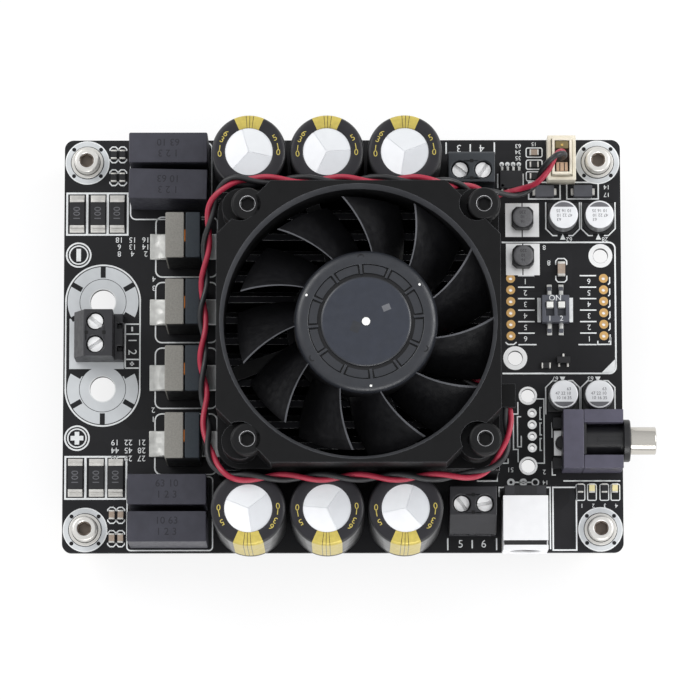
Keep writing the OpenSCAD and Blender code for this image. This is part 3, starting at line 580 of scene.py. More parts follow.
def post_fields():
    """The long pale field with a round land for each loudspeaker post."""
    for s in (-1, 1):
        at = (POST_X, s * POST_Y)
        Board.field.ring(at, 2.9, 5.0, *TINNED, steps=64)
        Board.print.ring(at, 2.75, 2.95, TOP, TOP + 0.06, steps=64)
        Board.field.ring(at, 5.12, 7.75, TOP, TOP + 0.045, steps=64, start=90 * s - 122, sweep=244)
        Board.print.ring(at, 7.95, POST_R + 0.1, *INK, steps=64, start=90 * s - 90, sweep=180)
        for turn in (-120, -60, 0, 60, 120):
            spoke = [polar(at, r, 90 * s + turn) for r in (5.35, 7.9)]
            Board.dark.stroke(spoke, 1.1, TOP, TOP + 0.055)
    for x in span(POST_X, POST_R - 0.08):
        ink([(x, -POST_Y), (x, POST_Y)], width=0.3)
    Board.field.box((POST_X - 7.3, POST_X + 4.6), (-5.2, 5.9), (TOP - 0.01, TOP + 0.04))
    left, right = POST_X + 4.9, POST_X + 7.9
    for y in (4.7, 2.5, -3.1, -5.0):
        ink([(left, y), (right, y)], width=0.3)
    ink([(left, 4.7), (left, -5.0)], width=0.3)
    label = (left + right) / 2
    for number, y in (("1", 1.1), ("2", -1.5)):
        ink_words(number, (label, y), 2.6, -90)
    for path in ([(label, 3.1), (label, 4.1)], [(label, -3.6), (label, -4.5)],
                 [(label - 0.45, -4.05), (label + 0.45, -4.05)]):
        ink(path, width=0.4)


def polarity_signs():
    """A ringed minus above the posts and a ringed plus below them."""
    for at, arms in (((-57.8, 20.0), ()), ((-57.9, -20.4), (-1, 1))):
        for inner, outer in ((2.45, 2.8), (1.85, 2.15)):
            Board.print.ring(at, inner, outer, *INK, steps=56)
        ink([(at[0], y) for y in span(at[1], 1.4)], width=1.0)
        for s in arms:
            Board.print.box(beyond(at[0], s, 0.5, 1.4), span(at[1], 0.5), INK)


SHUNT_X = (-58.2, -53.6, -49.4)
SHUNT_Y = 29.1


def shunt_frames():
    """The framed fields of the six flat resistors, with their solder lands."""
    walls = (-60.4, -56.0, -51.5, -47.1)
    for s in (-1, 1):
        y = span(s * SHUNT_Y, 4.6)
        ink_box((walls[0], walls[-1]), y, width=0.4)
        for x in walls[1:-1]:
            ink([(x, y[0] + 0.2), (x, y[1] - 0.2)], width=0.5)
        for x in SHUNT_X:
            for land in span(s * SHUNT_Y, 3.5):
                Board.land.box(span(x, 1.6), span(land, 0.65), (TOP - 0.01, TOP + 0.16), bevel=0.05)


LEFT_CHIP_X = (-50.2, -48.3)
LEFT_CHIP_Y = (37.2, 42.3)


def chip_outline(at, w, h, gap):
    """A round-cornered outline, open in the middle of its long sides."""
    x, y = around(at, w, h)
    for s in (-1, 1):
        end = y[1] if s > 0 else y[0]
        path = [(x[0], at[1] + s * gap), (x[0], end - s * 0.5), (x[0] + 0.5, end), (x[1] - 0.5, end),
                (x[1], end - s * 0.5), (x[1], at[1] + s * gap)]
        ink(path, width=0.26)


LEFT_NUMBERS = (("18 15 16 6 13 14 8 4 2", (-48.9, 23.4), 1.55, 1.7),
                ("19 22 21 44 45 28 30 29 27", (-49.6, -21.3), 1.75, 1.8))


def left_print():
    """Outlines and plain numbers on the output side."""
    for x in LEFT_CHIP_X:
        for y in LEFT_CHIP_Y:
            chip_outline((x, y), 1.75, 3.5, 0.9)
            chip_outline((x, -y - 0.1), 1.75, 3.5, 0.9)
    ink_box((-46.5, -28.7), (EDGE_Y - 17.6, EDGE_Y - 0.5), 1.2, 0.28)
    ink_box((-46.9, -28.3), (-EDGE_Y + 0.5, -EDGE_Y + 16.6), 0.8, 0.28)
    for numbers, at, row_step, size in LEFT_NUMBERS:
        for i, number in enumerate(numbers.split()):
            ink_words(number, (at[0] + 2.9 * (i % 3), at[1] - row_step * (i // 3)), size, 180)
    for number, y in (("4", 14.7), ("3", 12.7), ("2", -14.2), ("1", -16.2)):
        ink_words(number, (-41.3, y), 1.7, 180)


CORE_Y = [middle(f"output_inductor_core_{i}").y for i in range(1, 5)]
CORE_LOW_X = low("output_inductor_core_1").x
CORE_HIGH_X = high("output_inductor_core_1").x
CORE_TOP = high("output_inductor_core_1").z


def inductor_outlines():
    for y in CORE_Y:
        ink_box((-40.9, -27.4), (y - 6.65, y + 6.65), 1.4, 0.3)


PIN_PITCH = 2.54
MODULE_PIN_X = (36.8, 57.12)
MODULE_PIN_Y = [14.7 - PIN_PITCH * i for i in range(6)]
MODULE_FEET = ((56.5, 19.7), (37.7, -2.9))


def plated_hole(at, hole, land):
    """A gold-plated hole: its lands on both faces and its lining."""
    inner = hole - 0.12
    under = [(inner, BOTTOM - 0.04), (land, BOTTOM - 0.04), (land, BOTTOM + 0.01), (hole, BOTTOM + 0.01)]
    upper = [(hole, TOP - 0.01), (land, TOP - 0.01), (land, TOP + 0.05), (inner, TOP + 0.05)]
    Board.gold.lathe(under + upper, 28, place=standing(at), closed=True)


def module_print():
    """The framed field for a plug-in module: two rows of plated holes, its feet and its numbered pins."""
    (x0, x1), (y0, y1), bend = (34.9, 59.7), (-6.3, 22.7), 1.4
    ink([(x0, y1), (x1 - bend, y1)] + circle((x1 - bend, y1 - bend), bend, 6, 90, -90)[1:]
        + [(x1, y0 + bend)] + circle((x1 - bend, y0 + bend), bend, 6, 0, -90)[1:] + [(x0, y0)])
    Board.print.prism([(x1 - 3.2, y0 + 0.1), (x1 - 1.4, y0 + 0.1), (x1 - 0.5, y0 + 0.5),
                       (x1 - 0.1, y0 + 1.4), (x1 - 0.1, y0 + 3.2)], *INK)
    low_y = MODULE_PIN_Y[-1] - 1.9
    for x, inward, first in zip(MODULE_PIN_X, (1, -1), (1, 6)):
        for i, y in enumerate(MODULE_PIN_Y):
            plated_hole((x, y), 0.51, 0.98)
            ink_words(str(first + inward * i), (x + inward * 3.2, y - 0.6), 1.7, 180)
            ink([(x + inward * 1.6, y + 0.6), (x + inward * 5.2, y + 0.6)], width=0.28)
        ink([(x + inward * 1.6, low_y - 0.04), (x + inward * 5.6, low_y - 0.04)], width=0.28)
    left, right = MODULE_PIN_X
    for y in MODULE_PIN_Y:
        ink([(right + 1.35, y + 0.3), (right + 1.35, y - 1.0), (right + 1.0, y - 1.4)], width=0.26)
    hook = ((-1.35, 0.8), (-1.35, 0), (1.45, 0), (1.45, 1.6))
    cup = ((-1.2, 0.5), (-0.6, 0), (0.6, 0), (1.2, 0.5))
    for x, path in ((right, hook), (left, cup)):
        ink([(x + dx, low_y + dy) for dx, dy in path], width=0.28)
    for at in MODULE_FEET:
        Board.bare.ring(at, 1.65, 2.62, *TINNED)


CHIP_COLUMN_X = 42.125
CHIP_COLUMN_Y = (42.7, 40.0, 37.4)
DIODE_X = (44.325, 52.7)
DIODE_Y = 33.8
UPPER_NUMBERS = (("63", 38.6, 44.2, 1.35), ("34", 38.6, 42.85, 1.35), ("35", 38.6, 41.5, 1.35),
                 ("15", 42.1, 44.6, 1.2), ("14", 58.0, 35.0, 1.4), ("17", 58.0, 33.3, 1.4),
                 ("62", 49.7, 23.4, 1.4), ("28", 57.5, 23.4, 1.4), ("8", 44.2, 21.6, 1.5),
                 ("8", 45.2, 18.2, 1.6))


def upper_right_print():
    """The driver chip's lands, the outlines of the small parts, and plain numbers."""
    for x in (35.0, 36.25, 37.5, 38.75):
        Board.print.disc((x, 40.1), 0.5, *INK, 20)
        ink([(x, 40.1), (x, 38.6)], width=0.34)
    for x in (34.1, 39.7):
        ink([(x, 38.0), (x, 34.8)], width=0.28)
    for y in CHIP_COLUMN_Y:
        ink_box(*around((CHIP_COLUMN_X, y), 3.5, 2.05), 0.4, 0.24)
    for x in DIODE_X:
        ink_box(*around((x, 34.2), 6.9, 3.7), width=0.3)
    for number, x, y, size in UPPER_NUMBERS:
        ink_words(number, (x, y), size, 180)
    chip_outline((47.9, 16.5), 2.4, 5.2, 1.2)
    for at, way in SMALL_CANS:
        can_outline(at, way)


def can_outline(at, way):
    """A small can's outline: two straight sides, cut corners at one end and a filled polarity mark."""
    start, end = at[1] + way * 3.7, at[1] - way * 3.7
    for s in (-1, 1):
        x = [at[0] + s * dx for dx in (3.7, 3.7, 2.2, 1.2)]
        ink(list(zip(x, (start, end + way * 1.5, end, end))), width=0.28)
    mark = [(at[0] - 0.6, end - way * 0.9), (at[0] + 0.6, end - way * 0.9), (at[0], end + way * 0.4)]
    Board.print.prism(mark[::way], *INK)


LOWER_NUMBERS = (("67", 46.4, -7.4, 1.4), ("63", 54.1, -7.4, 1.4), ("2", 43.9, -27.9, 1.5),
                 ("51", 36.5, -27.4, 1.5), ("14", 44.1, -30.2, 1.3), ("1", 52.0, -35.3, 1.3),
                 ("2", 54.5, -35.3, 1.3), ("3", 57.0, -35.3, 1.3), ("4", 59.5, -35.3, 1.3))


def lower_right_print():
    """The spare connector's outline, the supply jack's frame and the lamps' outlines."""
    thin = [
        [(38.2, -12.6), (38.2, -15.2), (37.2, -15.2), (37.2, -23.0), (38.2, -23.0), (38.2, -25.8)],
        [(38.9, -15.8), (38.1, -15.8), (38.1, -22.4), (38.9, -22.4), (38.9, -20.0)],
        [(41.4, -11.9), (43.9, -11.9), (43.9, -26.0), (42.2, -26.0)],
        [(34.4, -26.0), (36.0, -26.0), (36.0, -25.0)],
        [(46.4, -17.2), (45.6, -17.2), (45.6, -20.4)],
        [(45.6, -25.6), (45.6, -28.6), (46.4, -28.6)]]
    for y in (-15.0, -18.4, -21.8):
        thin.append([(43.4, y - 1.4), (43.0, y - 1.4), (43.0, y + 1.2), (43.4, y + 1.2)])
    for path in thin:
        ink(path, width=0.26)
    ink([(29.2, -29.9), (33.6, -29.9), (33.6, -27.8)], width=0.32)
    ink([(37.4, -30.2), (41.1, -30.2)], width=0.3)
    ink([(34.0, -33.4), (34.0, -31.3), (45.1, -31.3), (45.1, -44.8)], width=0.3)
    ink([(48.0, -29.9), (60.4, -29.9)], width=0.28)
    ink_box((45.7, 50.8), (-45.0, -31.3), width=0.32)
    for x in (51.7, 54.2, 56.9, 59.3):
        ink_box(*around((x, -32.4), 1.9, 3.5), 0.3, 0.22)
    for x, hole in ((36.6, 0.35), (39.3, 0.35), (41.9, 0.55)):
        Board.print.ring((x, -30.2), hole, 0.85, *INK, steps=24)
    for number, x, y, size in LOWER_NUMBERS:
        ink_words(number, (x, y), size, 180)
    for i in range(4):
        Board.bare.ring((41.3, -15.0 - PIN_PITCH * i), 0.52, 1.0, *TINNED)
    for y in (-11.2, -26.6):
        Board.bare.ring((40.4, y), 1.52, 2.0, *TINNED)
    Board.bare.box((46.0, 48.2), (-24.4, -18.9), (TOP - 0.01, TOP + 0.25), bevel=0.08)


def terminal_print():
    """The marks beside the control and supply terminals."""
    for s, numbers in ((1, "34"), (-1, "56")):
        y = s * (EDGE_Y - 1.8)
        for x, half in ((22.8, 1.3), (33.4, 1.3), (28.1, 0.9)):
            ink([(x, end) for end in span(y, half)], width=0.3)
        for x, number in zip((25.6, 30.6), numbers):
            ink_words(number, (x, y), 2.4, 180 if s > 0 else 0)


SOLDER_CONE = [(0.28, -1.6), (0.4, -1.45), (0.42, -1.0), (0.75, -0.45), (1.2, -0.08), (1.25, 0.0)]


def lower_side():
    """Solder cones under the through-hole parts, and the pale rings under the mounting holes."""
    joints = []
    for i in range(1, 7):
        at = middle(f"bulk_capacitor_{i}")
        joints += [(at.x, y) for y in span(at.y, 3.75)]
    for i in range(1, 5):
        at = middle(f"film_capacitor_{i}")
        joints += [(x, at.y) for x in span(at.x, 7.5)]
    for name in TERMINAL_SLOTS:
        joints += [middle(f"{name}_terminal_clamp_{k}") for k in (1, 2)]
    for node, legs in (("jack_body", ((-5.6, -4.4), (-5.6, 4.4), (2, 0))),
                       ("dc_jack_body", ((0, -2), (0, 5), (-4, 2))),
                       ("fan_header", ((0, -2.5), (0, 0), (0, 2.5)))):
        at = middle(node)
        joints += [(at.x + x, at.y + y) for x, y in legs]
    for at in joints:
        Board.tin.lathe([(r, BOTTOM + z) for r, z in SOLDER_CONE], 16, place=standing(at))
    for at in HOLES:
        Board.field.ring(at, HOLE_R, FIELD_R, BOTTOM - 0.04, BOTTOM + 0.01, steps=48)


POWER_INDUCTORS = ((39.4, 27.7), (39.5, 19.2))


def build_board():
    dress("pcb", MASK)
    for lay in (corner_fields, post_fields, polarity_signs, shunt_frames, left_print, inductor_outlines,
                module_print, upper_right_print, lower_right_print, terminal_print, lower_side):
        lay()
    for at, reach in zip(POWER_INDUCTORS, (31.4, 22.4)):
        y = (at[1] - 3.8, min(reach, at[1] + 3.8))
        for s in (-1, 1):
            Board.bare.box(beyond(at[0], s, 0.12, 3.7), y, (TOP - 0.01, TOP + 0.08), bevel=0.02)
    for name, shape, finish, slot in (
            ("print", Board.print, SILK, "board"), ("fields", Board.field, FIELD, "board"),
            ("tin", Board.tin, TIN, "bright_steel"), ("lands", Board.land, LAND, "bright_steel"),
            ("bare_tin", Board.bare, BARE_TIN, "bright_steel"), ("gold", Board.gold, GOLD, "brass"),
            ("gaps_and_shadows", Board.dark, MASK, "board")):
        piece(f"board_{name}", shape, [finish], slot)


# Bulk capacitors

STRIPE_HALF = 24
STRIPE_LINES = (-7.5, -1.5, 4.5)
STRIPE_LINE_HALF = 0.5
SLEEVE_DIGITS = (("6", 52), ("3", 66), ("1", 84), ("0", 95), ("5", -62), ("1", -80), ("0", -92))


def build_bulk_capacitor(i):
    """A sleeved can: rolled groove, gold stripe towards the board's edge and a scored vent."""
    node = f"bulk_capacitor_{i}"
    at, r = middle(node), (high(node).x - low(node).x) / 2
    z0, z1 = low(node).z, high(node).z
    edge_way = 90 if at.y > 0 else 270
    disc_r, disc_z = r - 2.9, z1 - 0.3
    profile = [(r - 0.7, z0), (r - 0.2, z0 + 0.2), (r, z0 + 0.6), (r, z0 + 1.7), (r - 0.35, z0 + 2.0),
               (r - 0.5, z0 + 2.25), (r - 0.35, z0 + 2.5), (r, z0 + 2.8), (r, z1 - 0.9),
               (r - 0.12, z1 - 0.45), (r - 0.4, z1 - 0.14), (r - 0.8, z1), (disc_r + 0.3, z1),
               (disc_r + 0.1, z1 - 0.08), (disc_r, disc_z)]

    def colour(band, angle):
        off = (angle - edge_way + 180) % 360 - 180
        lined = any(abs(off - line) < STRIPE_LINE_HALF for line in STRIPE_LINES)
        if abs(off) < STRIPE_HALF and band >= 7 and not lined:
            return 1
        # Shoulder bands take the shoulder finish with its painted sheen.
        return 3 if band >= 10 else 0

    place = standing(at)
    shape = Shape()
    shape.lathe(profile, 360, colour, place)
    shape.faces.pop()
    shape.paint.pop()
    vent(shape, place, disc_r, disc_z, 90 + VENT_TURN * i)
    for digit, off in SLEEVE_DIGITS:
        spot = polar(at, r - 1.7, edge_way + off)
        shape.words(digit, spot, 1.9, z1 - 0.01, z1 + 0.01, edge_way + off + (180 if off > 0 else 0), 1)
    paints = [SLEEVE, STRIPE, ALUMINIUM, SLEEVE_SHOULDER_SHEEN, ALUMINIUM_SHADED, ALUMINIUM_HALF_SHADED]
    piece(f"capacitor_can_{i}", shape, paints, "can_sleeve", stands_for=[node])


VENT_RISE = 0.13
VENT_TURN = 17
SCORE_HALF = 0.09


def vent(shape, place, radius, z, turn):
    """The can's bare end: three faces that rise a little to the middle, with a score between them; one face
    is painted lit and two take painted shade.
    """
    for k, paint in enumerate((2, 4, 5)):
        start = turn + 120 * k
        face_way = Vector(polar((0, 0), 1, start + 60))
        middle_corner = tuple(face_way * SCORE_HALF / math.sin(math.radians(60)))
        edge = [middle_corner] + circle((0, 0), radius, 16, start + 1, 118)
        low_row = [(*p, z - 0.12) for p in edge]
        high_row = [(*p, z + VENT_RISE * (1 - face_way.dot(Vector(p)) / radius)) for p in edge]
        shape.skin([low_row, high_row], paint, place=place)
    floor = [(*p, z - 0.08) for p in circle((0, 0), radius, 48)]
    shape.add(floor, [list(range(48))], 2, place)


# Film capacitors

FILM_CODES = ("63 10", "10 63", "63 10", "10 63")
FILM_HALF = (8.5, 3.3)


def build_film_capacitor(i):
    """A moulded box with a raised lid field and faint numbers."""
    node = f"film_capacitor_{i}"
    half_x, half_y = FILM_HALF
    z0, z1 = low(node).z, high(node).z
    place = standing(middle(node), -1.2 if i == 2 else 0)
    shape = Shape()
    shape.box(span(0, half_x), span(0, half_y), (z0, z1 - 0.05), 0, 0.32, place)
    shape.box(span(0, half_x - 0.7), span(0, half_y - 0.6), (z1 - 0.4, z1 - 0.02), 0, 0.14, place)
    text = Shape()
    for row, line in enumerate((FILM_CODES[i - 1], "1 2 3")):
        text.words(line, (0, 1.2 - 2.4 * row), 2.2, z1 - 0.03, z1, 180 if i < 3 else 0)
    shape.add(text.verts, text.faces, 1, place)
    piece(f"film_box_{i}", shape, [FILM, FILM_INK], "film", stands_for=[node])


# Output inductors

def build_inductors():
    """Two ground core halves with the winding between them, on tinned strips."""
    node = "output_inductor_windings"
    strip_x = (low(node).x, high(node).x)
    gap = (CORE_LOW_X + 4.05, CORE_LOW_X + 4.35)
    windings = Shape()
    for i, y in enumerate(CORE_Y, 1):
        outer = Shape()
        body = (span(y, 4.95), (TOP + 0.5, CORE_TOP))
        outer.box((CORE_LOW_X, gap[0]), *body, 0, 0.3)
        outer.box((gap[1], CORE_HIGH_X), *body, 1, 0.3)
        piece(f"inductor_core_{i}", outer, [CORE_GREY, CORE_SLATE], "ferrite",
              stands_for=[f"output_inductor_core_{i}"])
        # A dark block in the gap between the core halves: painted shade.
        windings.box(gap, span(y, 4.4), (TOP, CORE_TOP - 1.4), 1)
        copper_x = (gap[0] - 0.05, gap[1] + 0.05)
        windings.box(copper_x, (y - 1.4, y + 1.2), (CORE_TOP - 1.6, CORE_TOP - 0.5), 0, 0.1)
        # Thin dark plates on the cores' long sides: painted shade.
        for s in (-1, 1):
            side = beyond(y, s, 4.9, 4.97)
            windings.box((CORE_LOW_X + 0.35, CORE_HIGH_X - 0.35), side, (TOP + 0.6, CORE_TOP - 0.45), 1)
        mid_x = (CORE_LOW_X + CORE_HIGH_X) / 2
        # The strips' right halves, and their fillets, take the paler bare tin: painted light where they lie
        # in shade.
        for x, paint in (((strip_x[0], mid_x), 2), ((mid_x, strip_x[1]), 3)):
            windings.box(x, span(y, 2.85), (TOP, TOP + 0.5), paint, 0.16)
        fillet(windings, strip_x[0] + 0.5, CORE_LOW_X, y, 2.6, 2)
        fillet(windings, strip_x[1] - 0.5, CORE_HIGH_X, y, 2.6, 3)
    piece("inductor_windings", windings, [COPPER, PAINTED_SHADE, TIN, BARE_TIN], "copper", stands_for=[node])


FILLET_STEPS = 6
FILLET_RISE = 1.5


def fillet(shape, x0, x1, y, half, paint):
    """A hollow solder fillet that climbs from the strip to the core's side."""
    shares = [k / FILLET_STEPS for k in range(FILLET_STEPS + 1)]
    outline = [(x0 + (x1 - x0) * t, TOP + 0.48 + FILLET_RISE * t ** 2.4) for t in shares]
    outline += [(x1, TOP + 0.3), (x0, TOP + 0.3)]
    if x1 < x0:
        outline.reverse()
    shape.skin([[(x, side, z) for x, z in outline] for side in span(y, half)], paint)


# Screw terminals

TERMINAL_SLOTS = {"output": (-40, 35), "control": (55, -38), "supply": (-55, 12)}


def build_terminals():
    notch_shades = Shape()
    for name, slots in TERMINAL_SLOTS.items():
        finish = CONTROL if name == "control" else TERMINAL
        dress(f"{name}_terminal_housing", finish, 0.22)
        for k in (1, 2):
            dress(f"{name}_terminal_clamp_{k}", CLAMP, 0.12)
            terminal_screw(name, k, slots[k - 1])
        first, second = (middle(f"{name}_terminal_screw_{k}").xy for k in (1, 2))
        across = (second - first).orthogonal().normalized() * 1.9
        z1 = high(f"{name}_terminal_housing").z
        # Two small dark squares flush on each housing's top: painted shade of its openings.
        for s in (-1, 1):
            spot = (first + second) / 2 + across * s
            notch_shades.prism(rounded(*around(spot, 0.8, 0.8), 0.2), z1 - 0.02, z1 + 0.01)
    piece("terminal_notch_shades", notch_shades, [PAINTED_SHADE], "black_plastic")


SCREW_CORE_R = 1.22
THREAD_PITCH = 0.45
SLOT_HALF = 0.36


def terminal_screw(name, k, turn):
    """A zinc-plated slotted screw in its well."""
    node = f"{name}_terminal_screw_{k}"
    at, z0, z1 = middle(node), low(node).z, high(node).z
    head_r = (high(node).x - low(node).x) / 2
    shape = Shape()
    profile = [(SCREW_CORE_R - 0.3, z0)]
    for t in range(int((z1 - 1.6 - z0 - 0.2) / THREAD_PITCH)):
        z = z0 + 0.2 + THREAD_PITCH * t
        profile += [(SCREW_CORE_R - 0.18, z), (SCREW_CORE_R, z + 0.22)]
    profile += [(SCREW_CORE_R - 0.1, z1 - 1.48), (head_r - 0.15, z1 - 1.5)]
    profile += [(head_r, z1 - 1.35), (head_r, z1 - 0.72)]
    shape.lathe(profile, 32, 0, standing(at, turn))
    start = math.degrees(math.asin(SLOT_HALF / head_r))
    half_head = circle((0, 0), head_r, 18, start, 180 - 2 * start)
    for half_turn in (0, 180):
        shape.prism(half_head, z1 - 0.76, z1, 0, 0.12, standing(at, turn + half_turn))
    piece(f"{name}_screw_{k}", shape, [ZINC], "bright_steel", node, [node])


# Fan

def dress_fan_frame():
    """Black frame whose edges, and the flare of its inlet, carry a painted highlight in paler materials."""
    shown = dress("fan_frame", FAN_BLACK, 0.35, 3)
    shown.data.materials.append(FAN_FLARE_HIGHLIGHT)
    shown.data.materials.append(FAN_EDGE_HIGHLIGHT)
    # The edge bevels take the paler edge material: painted highlight.
    shown.modifiers["edges"].material = 2
    # Faces of the inlet flare take the paler flare material: painted highlight.
    for face in shown.data.polygons:
        at = shown.matrix_world @ face.center / MM
        out = at.xy - FAN.xy
        if FAN_TOP - 8 < at.z < FAN_TOP and 0.03 < face.normal.z < 0.9 and face.normal.xy.dot(out) < 0:
            face.material_index = 1


def build_fan():
    fins = dress("heatsink", HEATSINK, 0.2)
    # The fins' edge bevels are painted near white: painted highlight.
    fins.data.materials.append(FIN_EDGE_HIGHLIGHT)
    fins.modifiers["edges"].material = 1
    dress_fan_frame()
    dress("fan_stator", LAMINATION, 0.2)
    dress("fan_bearing", BEARING)
    dress("fan_shaft", STEEL)
    dress("fan_magnet", MAGNET)
    dress("heatsink_screws", STEEL, 0.15)
    dress("amplifier_chip", CHIP, 0.15)
    build_rotor()
    motor_wires()


MOTOR_ROUTE = ((16.5, -7.4), (19.5, -9.2), (22.6, -11.2), (25.4, -12.4))


def motor_wires():
    """The pair from the motor to the frame, low under the blades."""
    z = low("fan_frame").z + 2.2
    shape = Shape()
    for paint, shift in enumerate((WIRE_R, -WIRE_R)):
        route = [(FAN.x + x + shift * 0.5, FAN.y + y + shift, z) for x, y in MOTOR_ROUTE]
        shape.tube(smooth_route(route, ROUTE_STEPS), WIRE_R, paint)
    piece("motor_wires", shape, [RED, BLACK_WIRE], "lead")


HUB_R = 15.2
TIP_R = FAN_HALF - 1.5 - 1.2
ROOT_R = HUB_R - 0.75
BLADES = 11
BLADE_PHASE = 2.7
POCKETS = 12
POCKET_PHASE = 5.5
BLADE_LEAD = 16
BLADE_TURN = 26
BLADE_T = 1.0
HUB_FLOOR = low("fan_frame").z + 3.4
BLADE_TOP = HUB_TOP - 0.5
BLADE_LOW = HUB_FLOOR + 0.5


def blade_point(along, across, side):
    """A blade's skin: along 0 at the hub to 1 at the tip, across 0 at the upper to 1 at the lower edge."""
    r = ROOT_R + (TIP_R - ROOT_R) * along
    a = math.radians(BLADE_LEAD * (along - 1) - BLADE_TURN * across)
    z = BLADE_TOP - (BLADE_TOP - BLADE_LOW) * across ** 0.85
    edge = min(across, 1 - across, (1 - along) * 2.2) / 0.12
    thin = BLADE_T * (0.32 * (1 - min(1, edge) ** 0.5))
    return Vector((r * math.cos(a), r * math.sin(a), z - (thin if side == 0 else BLADE_T - thin)))


def add_blade(shape, turn):
    rows, columns = 12, 16
    place = standing(FAN, turn)
    across = [(1 - math.cos(math.pi * j / columns)) / 2 for j in range(columns + 1)]
    verts = []
    for side in (0, 1):
        for i in range(rows + 1):
            verts += [place @ blade_point(i / rows, t, side) for t in across]
    row = columns + 1
    lower = row * (rows + 1)
    faces = []
    for i in range(rows):
        for j in range(columns):
            c = i * row + j
            faces.append([c, c + 1, c + row + 1, c + row][::-1])
            faces.append([c + lower, c + lower + 1, c + lower + row + 1, c + lower + row])
    edge = list(range(row)) + [i * row + columns for i in range(1, rows + 1)]
    edge += [rows * row + j for j in range(columns - 1, -1, -1)] + [i * row for i in range(rows - 1, 0, -1)]
    for k, p in enumerate(edge):
        q = edge[(k + 1) % len(edge)]
        faces.append([p, q, q + lower, p + lower])
    # Paint 3 on the blades' upper edge strip and rim faces is a painted highlight.
    colours = []
    for i in range(rows):
        for j in range(columns):
            colours += [3 if j < 2 else 0, 0]
    shape.add(verts, faces, colours + [3 if k < row + rows and k >= row - 1 else 0 for k in range(len(edge))])


def build_rotor():
    """Eleven blades round a cup, whose face has a disc, a groove, a ring of pockets and a round rim."""
    shape = Shape()
    for k in range(BLADES):
        add_blade(shape, BLADE_PHASE + 360 * k / BLADES)
    inner_r, cap_z = HUB_R - 1.5, HUB_TOP - 1.8
    rim = [(inner_r, cap_z), (inner_r, HUB_FLOOR), (HUB_R - 0.2, HUB_FLOOR), (HUB_R, HUB_FLOOR + 0.3)]
    rim += [(HUB_R, HUB_TOP - 1.5), (HUB_R - 0.15, HUB_TOP - 0.9), (HUB_R - 0.55, HUB_TOP - 0.4),
            (HUB_R - 1.15, HUB_TOP - 0.1), (HUB_R - 1.8, HUB_TOP), (12.4, HUB_TOP), (12.25, HUB_TOP - 0.1),
            (12.2, HUB_TOP - 0.8), (10.2, HUB_TOP - 0.8), (9.6, HUB_TOP - 0.8), (9.55, HUB_TOP - 0.25),
            (9.3, HUB_TOP - 0.05), (8.9, HUB_TOP), (1.2, HUB_TOP), (1.0, HUB_TOP - 0.15)]
    # Band paint 4 gives the disc its painted sheen, and paint 5 darkens the groove's floor as painted shade.
    bands = [0] * 4 + [1] * 7 + [5] * 3 + [1] + [4] * 4
    shape.lathe(rim, 144, lambda band, angle: bands[band], standing(FAN))
    pocket = circle((0, 0), 12.05, 8, 3.2, 23.6) + circle((0, 0), 10.35, 8, 26.8, -23.6)
    for k in range(POCKETS):
        spin = standing(FAN, POCKET_PHASE + 360 * k / POCKETS)
        shape.box((10.1, 12.35), span(0, 0.28), (HUB_TOP - 0.9, HUB_TOP - 0.05), 1, 0.08, spin)
        shape.prism(pocket, HUB_TOP - 0.9, HUB_TOP - 0.3, 1, 0.07, spin)
    # Three small bumps painted white for their glints: painted highlight.
    for angle in (156, 34.7, 274.2):
        pip = standing(polar(FAN, 13.7, angle), 0, HUB_TOP - 0.06)
        shape.lathe([(0.3, -0.1), (0.3, 0.0), (0.2, 0.05)], 14, 2, pip)
    # Small sunk rings painted near black: painted shade.
    for angle in (94.5, 214.5, 335):
        shape.ring(polar(FAN, 13.75, angle), 0.5, 0.72, HUB_TOP - 0.4, HUB_TOP - 0.05, 5, 24)
    for at, size, turn, paint in (((4.3, 2.9), (1.7, 1.3), 22, 3), ((-2.2, -1.2), (1.9, 2.3), -20, 1)):
        patch = standing((FAN.x + at[0], FAN.y + at[1]), turn)
        shape.box(*around((0, 0), *size), (HUB_TOP - 0.05, HUB_TOP + 0.01), paint, 0, patch)
    # The white dome on the shaft's end: painted highlight.
    shape.lathe([(0.9, 0.0), (0.85, 0.12), (0.5, 0.19), (0.1, 0.2)], 24, 2, standing(FAN, 0, HUB_TOP - 0.2))
    piece("rotor", shape, [ROTOR_BLACK, HUB, WHITE, BLADE_HIGHLIGHT_AND_HUB_MARK, HUB_DISC_SHEEN, HUB_RECESS_SHADE], "fan_plastic", "rotor",
          ["fan_rotor"])


# Fan lead

LEAD_ROUTE = [
    (35, -17.5, 28), (35.1, -21, 28), (34.7, -25.2, 27.8), (32.8, -28.8, 27.4),
    (29, -31.2, 27), (22, -31.9, 26.8), (13.4, -32, 26.6), (5, -32, 26.5),
    (-3.3, -32, 26.6), (-11.6, -32, 26.5), (-18.4, -32, 26.5), (-23.4, -31.8, 26.4),
    (-26.8, -29.5, 25.3), (-28.4, -25.4, 23.4), (-29.2, -19.5, 20.8), (-29.6, -13, 19),
    (-30, -7, 18.5), (-29.7, -1, 18.5), (-30, 5, 18.5), (-29.7, 11, 18.6),
    (-29.3, 17, 20), (-28.6, 23.4, 22.8), (-27.2, 28.6, 25), (-23.6, 31.8, 26.4),
    (-18.4, 32, 26.5), (-11.6, 32, 26.6), (-3.4, 32, 26.5), (6, 32, 26.6),
    (13.5, 32, 26.5), (19.6, 31.8, 26), (24.6, 31.6, 22), (28.8, 31.6, 15.6),
    (32.6, 31.7, 10.2), (36.2, 32.2, 7.6), (39.4, 32.9, 7.4), (42, 34.2, 9.2),
    (43.9, 36.5, 11.8), (45.8, 39, 13.8), (47.3, 40.2, 13), (48, 40.5, 10.8),
    (48, 40.5, 8)]
WIRE_R = 0.6
TWIST = 16.0
TWIST_START = math.radians(135)
ROUTE_STEPS = 8


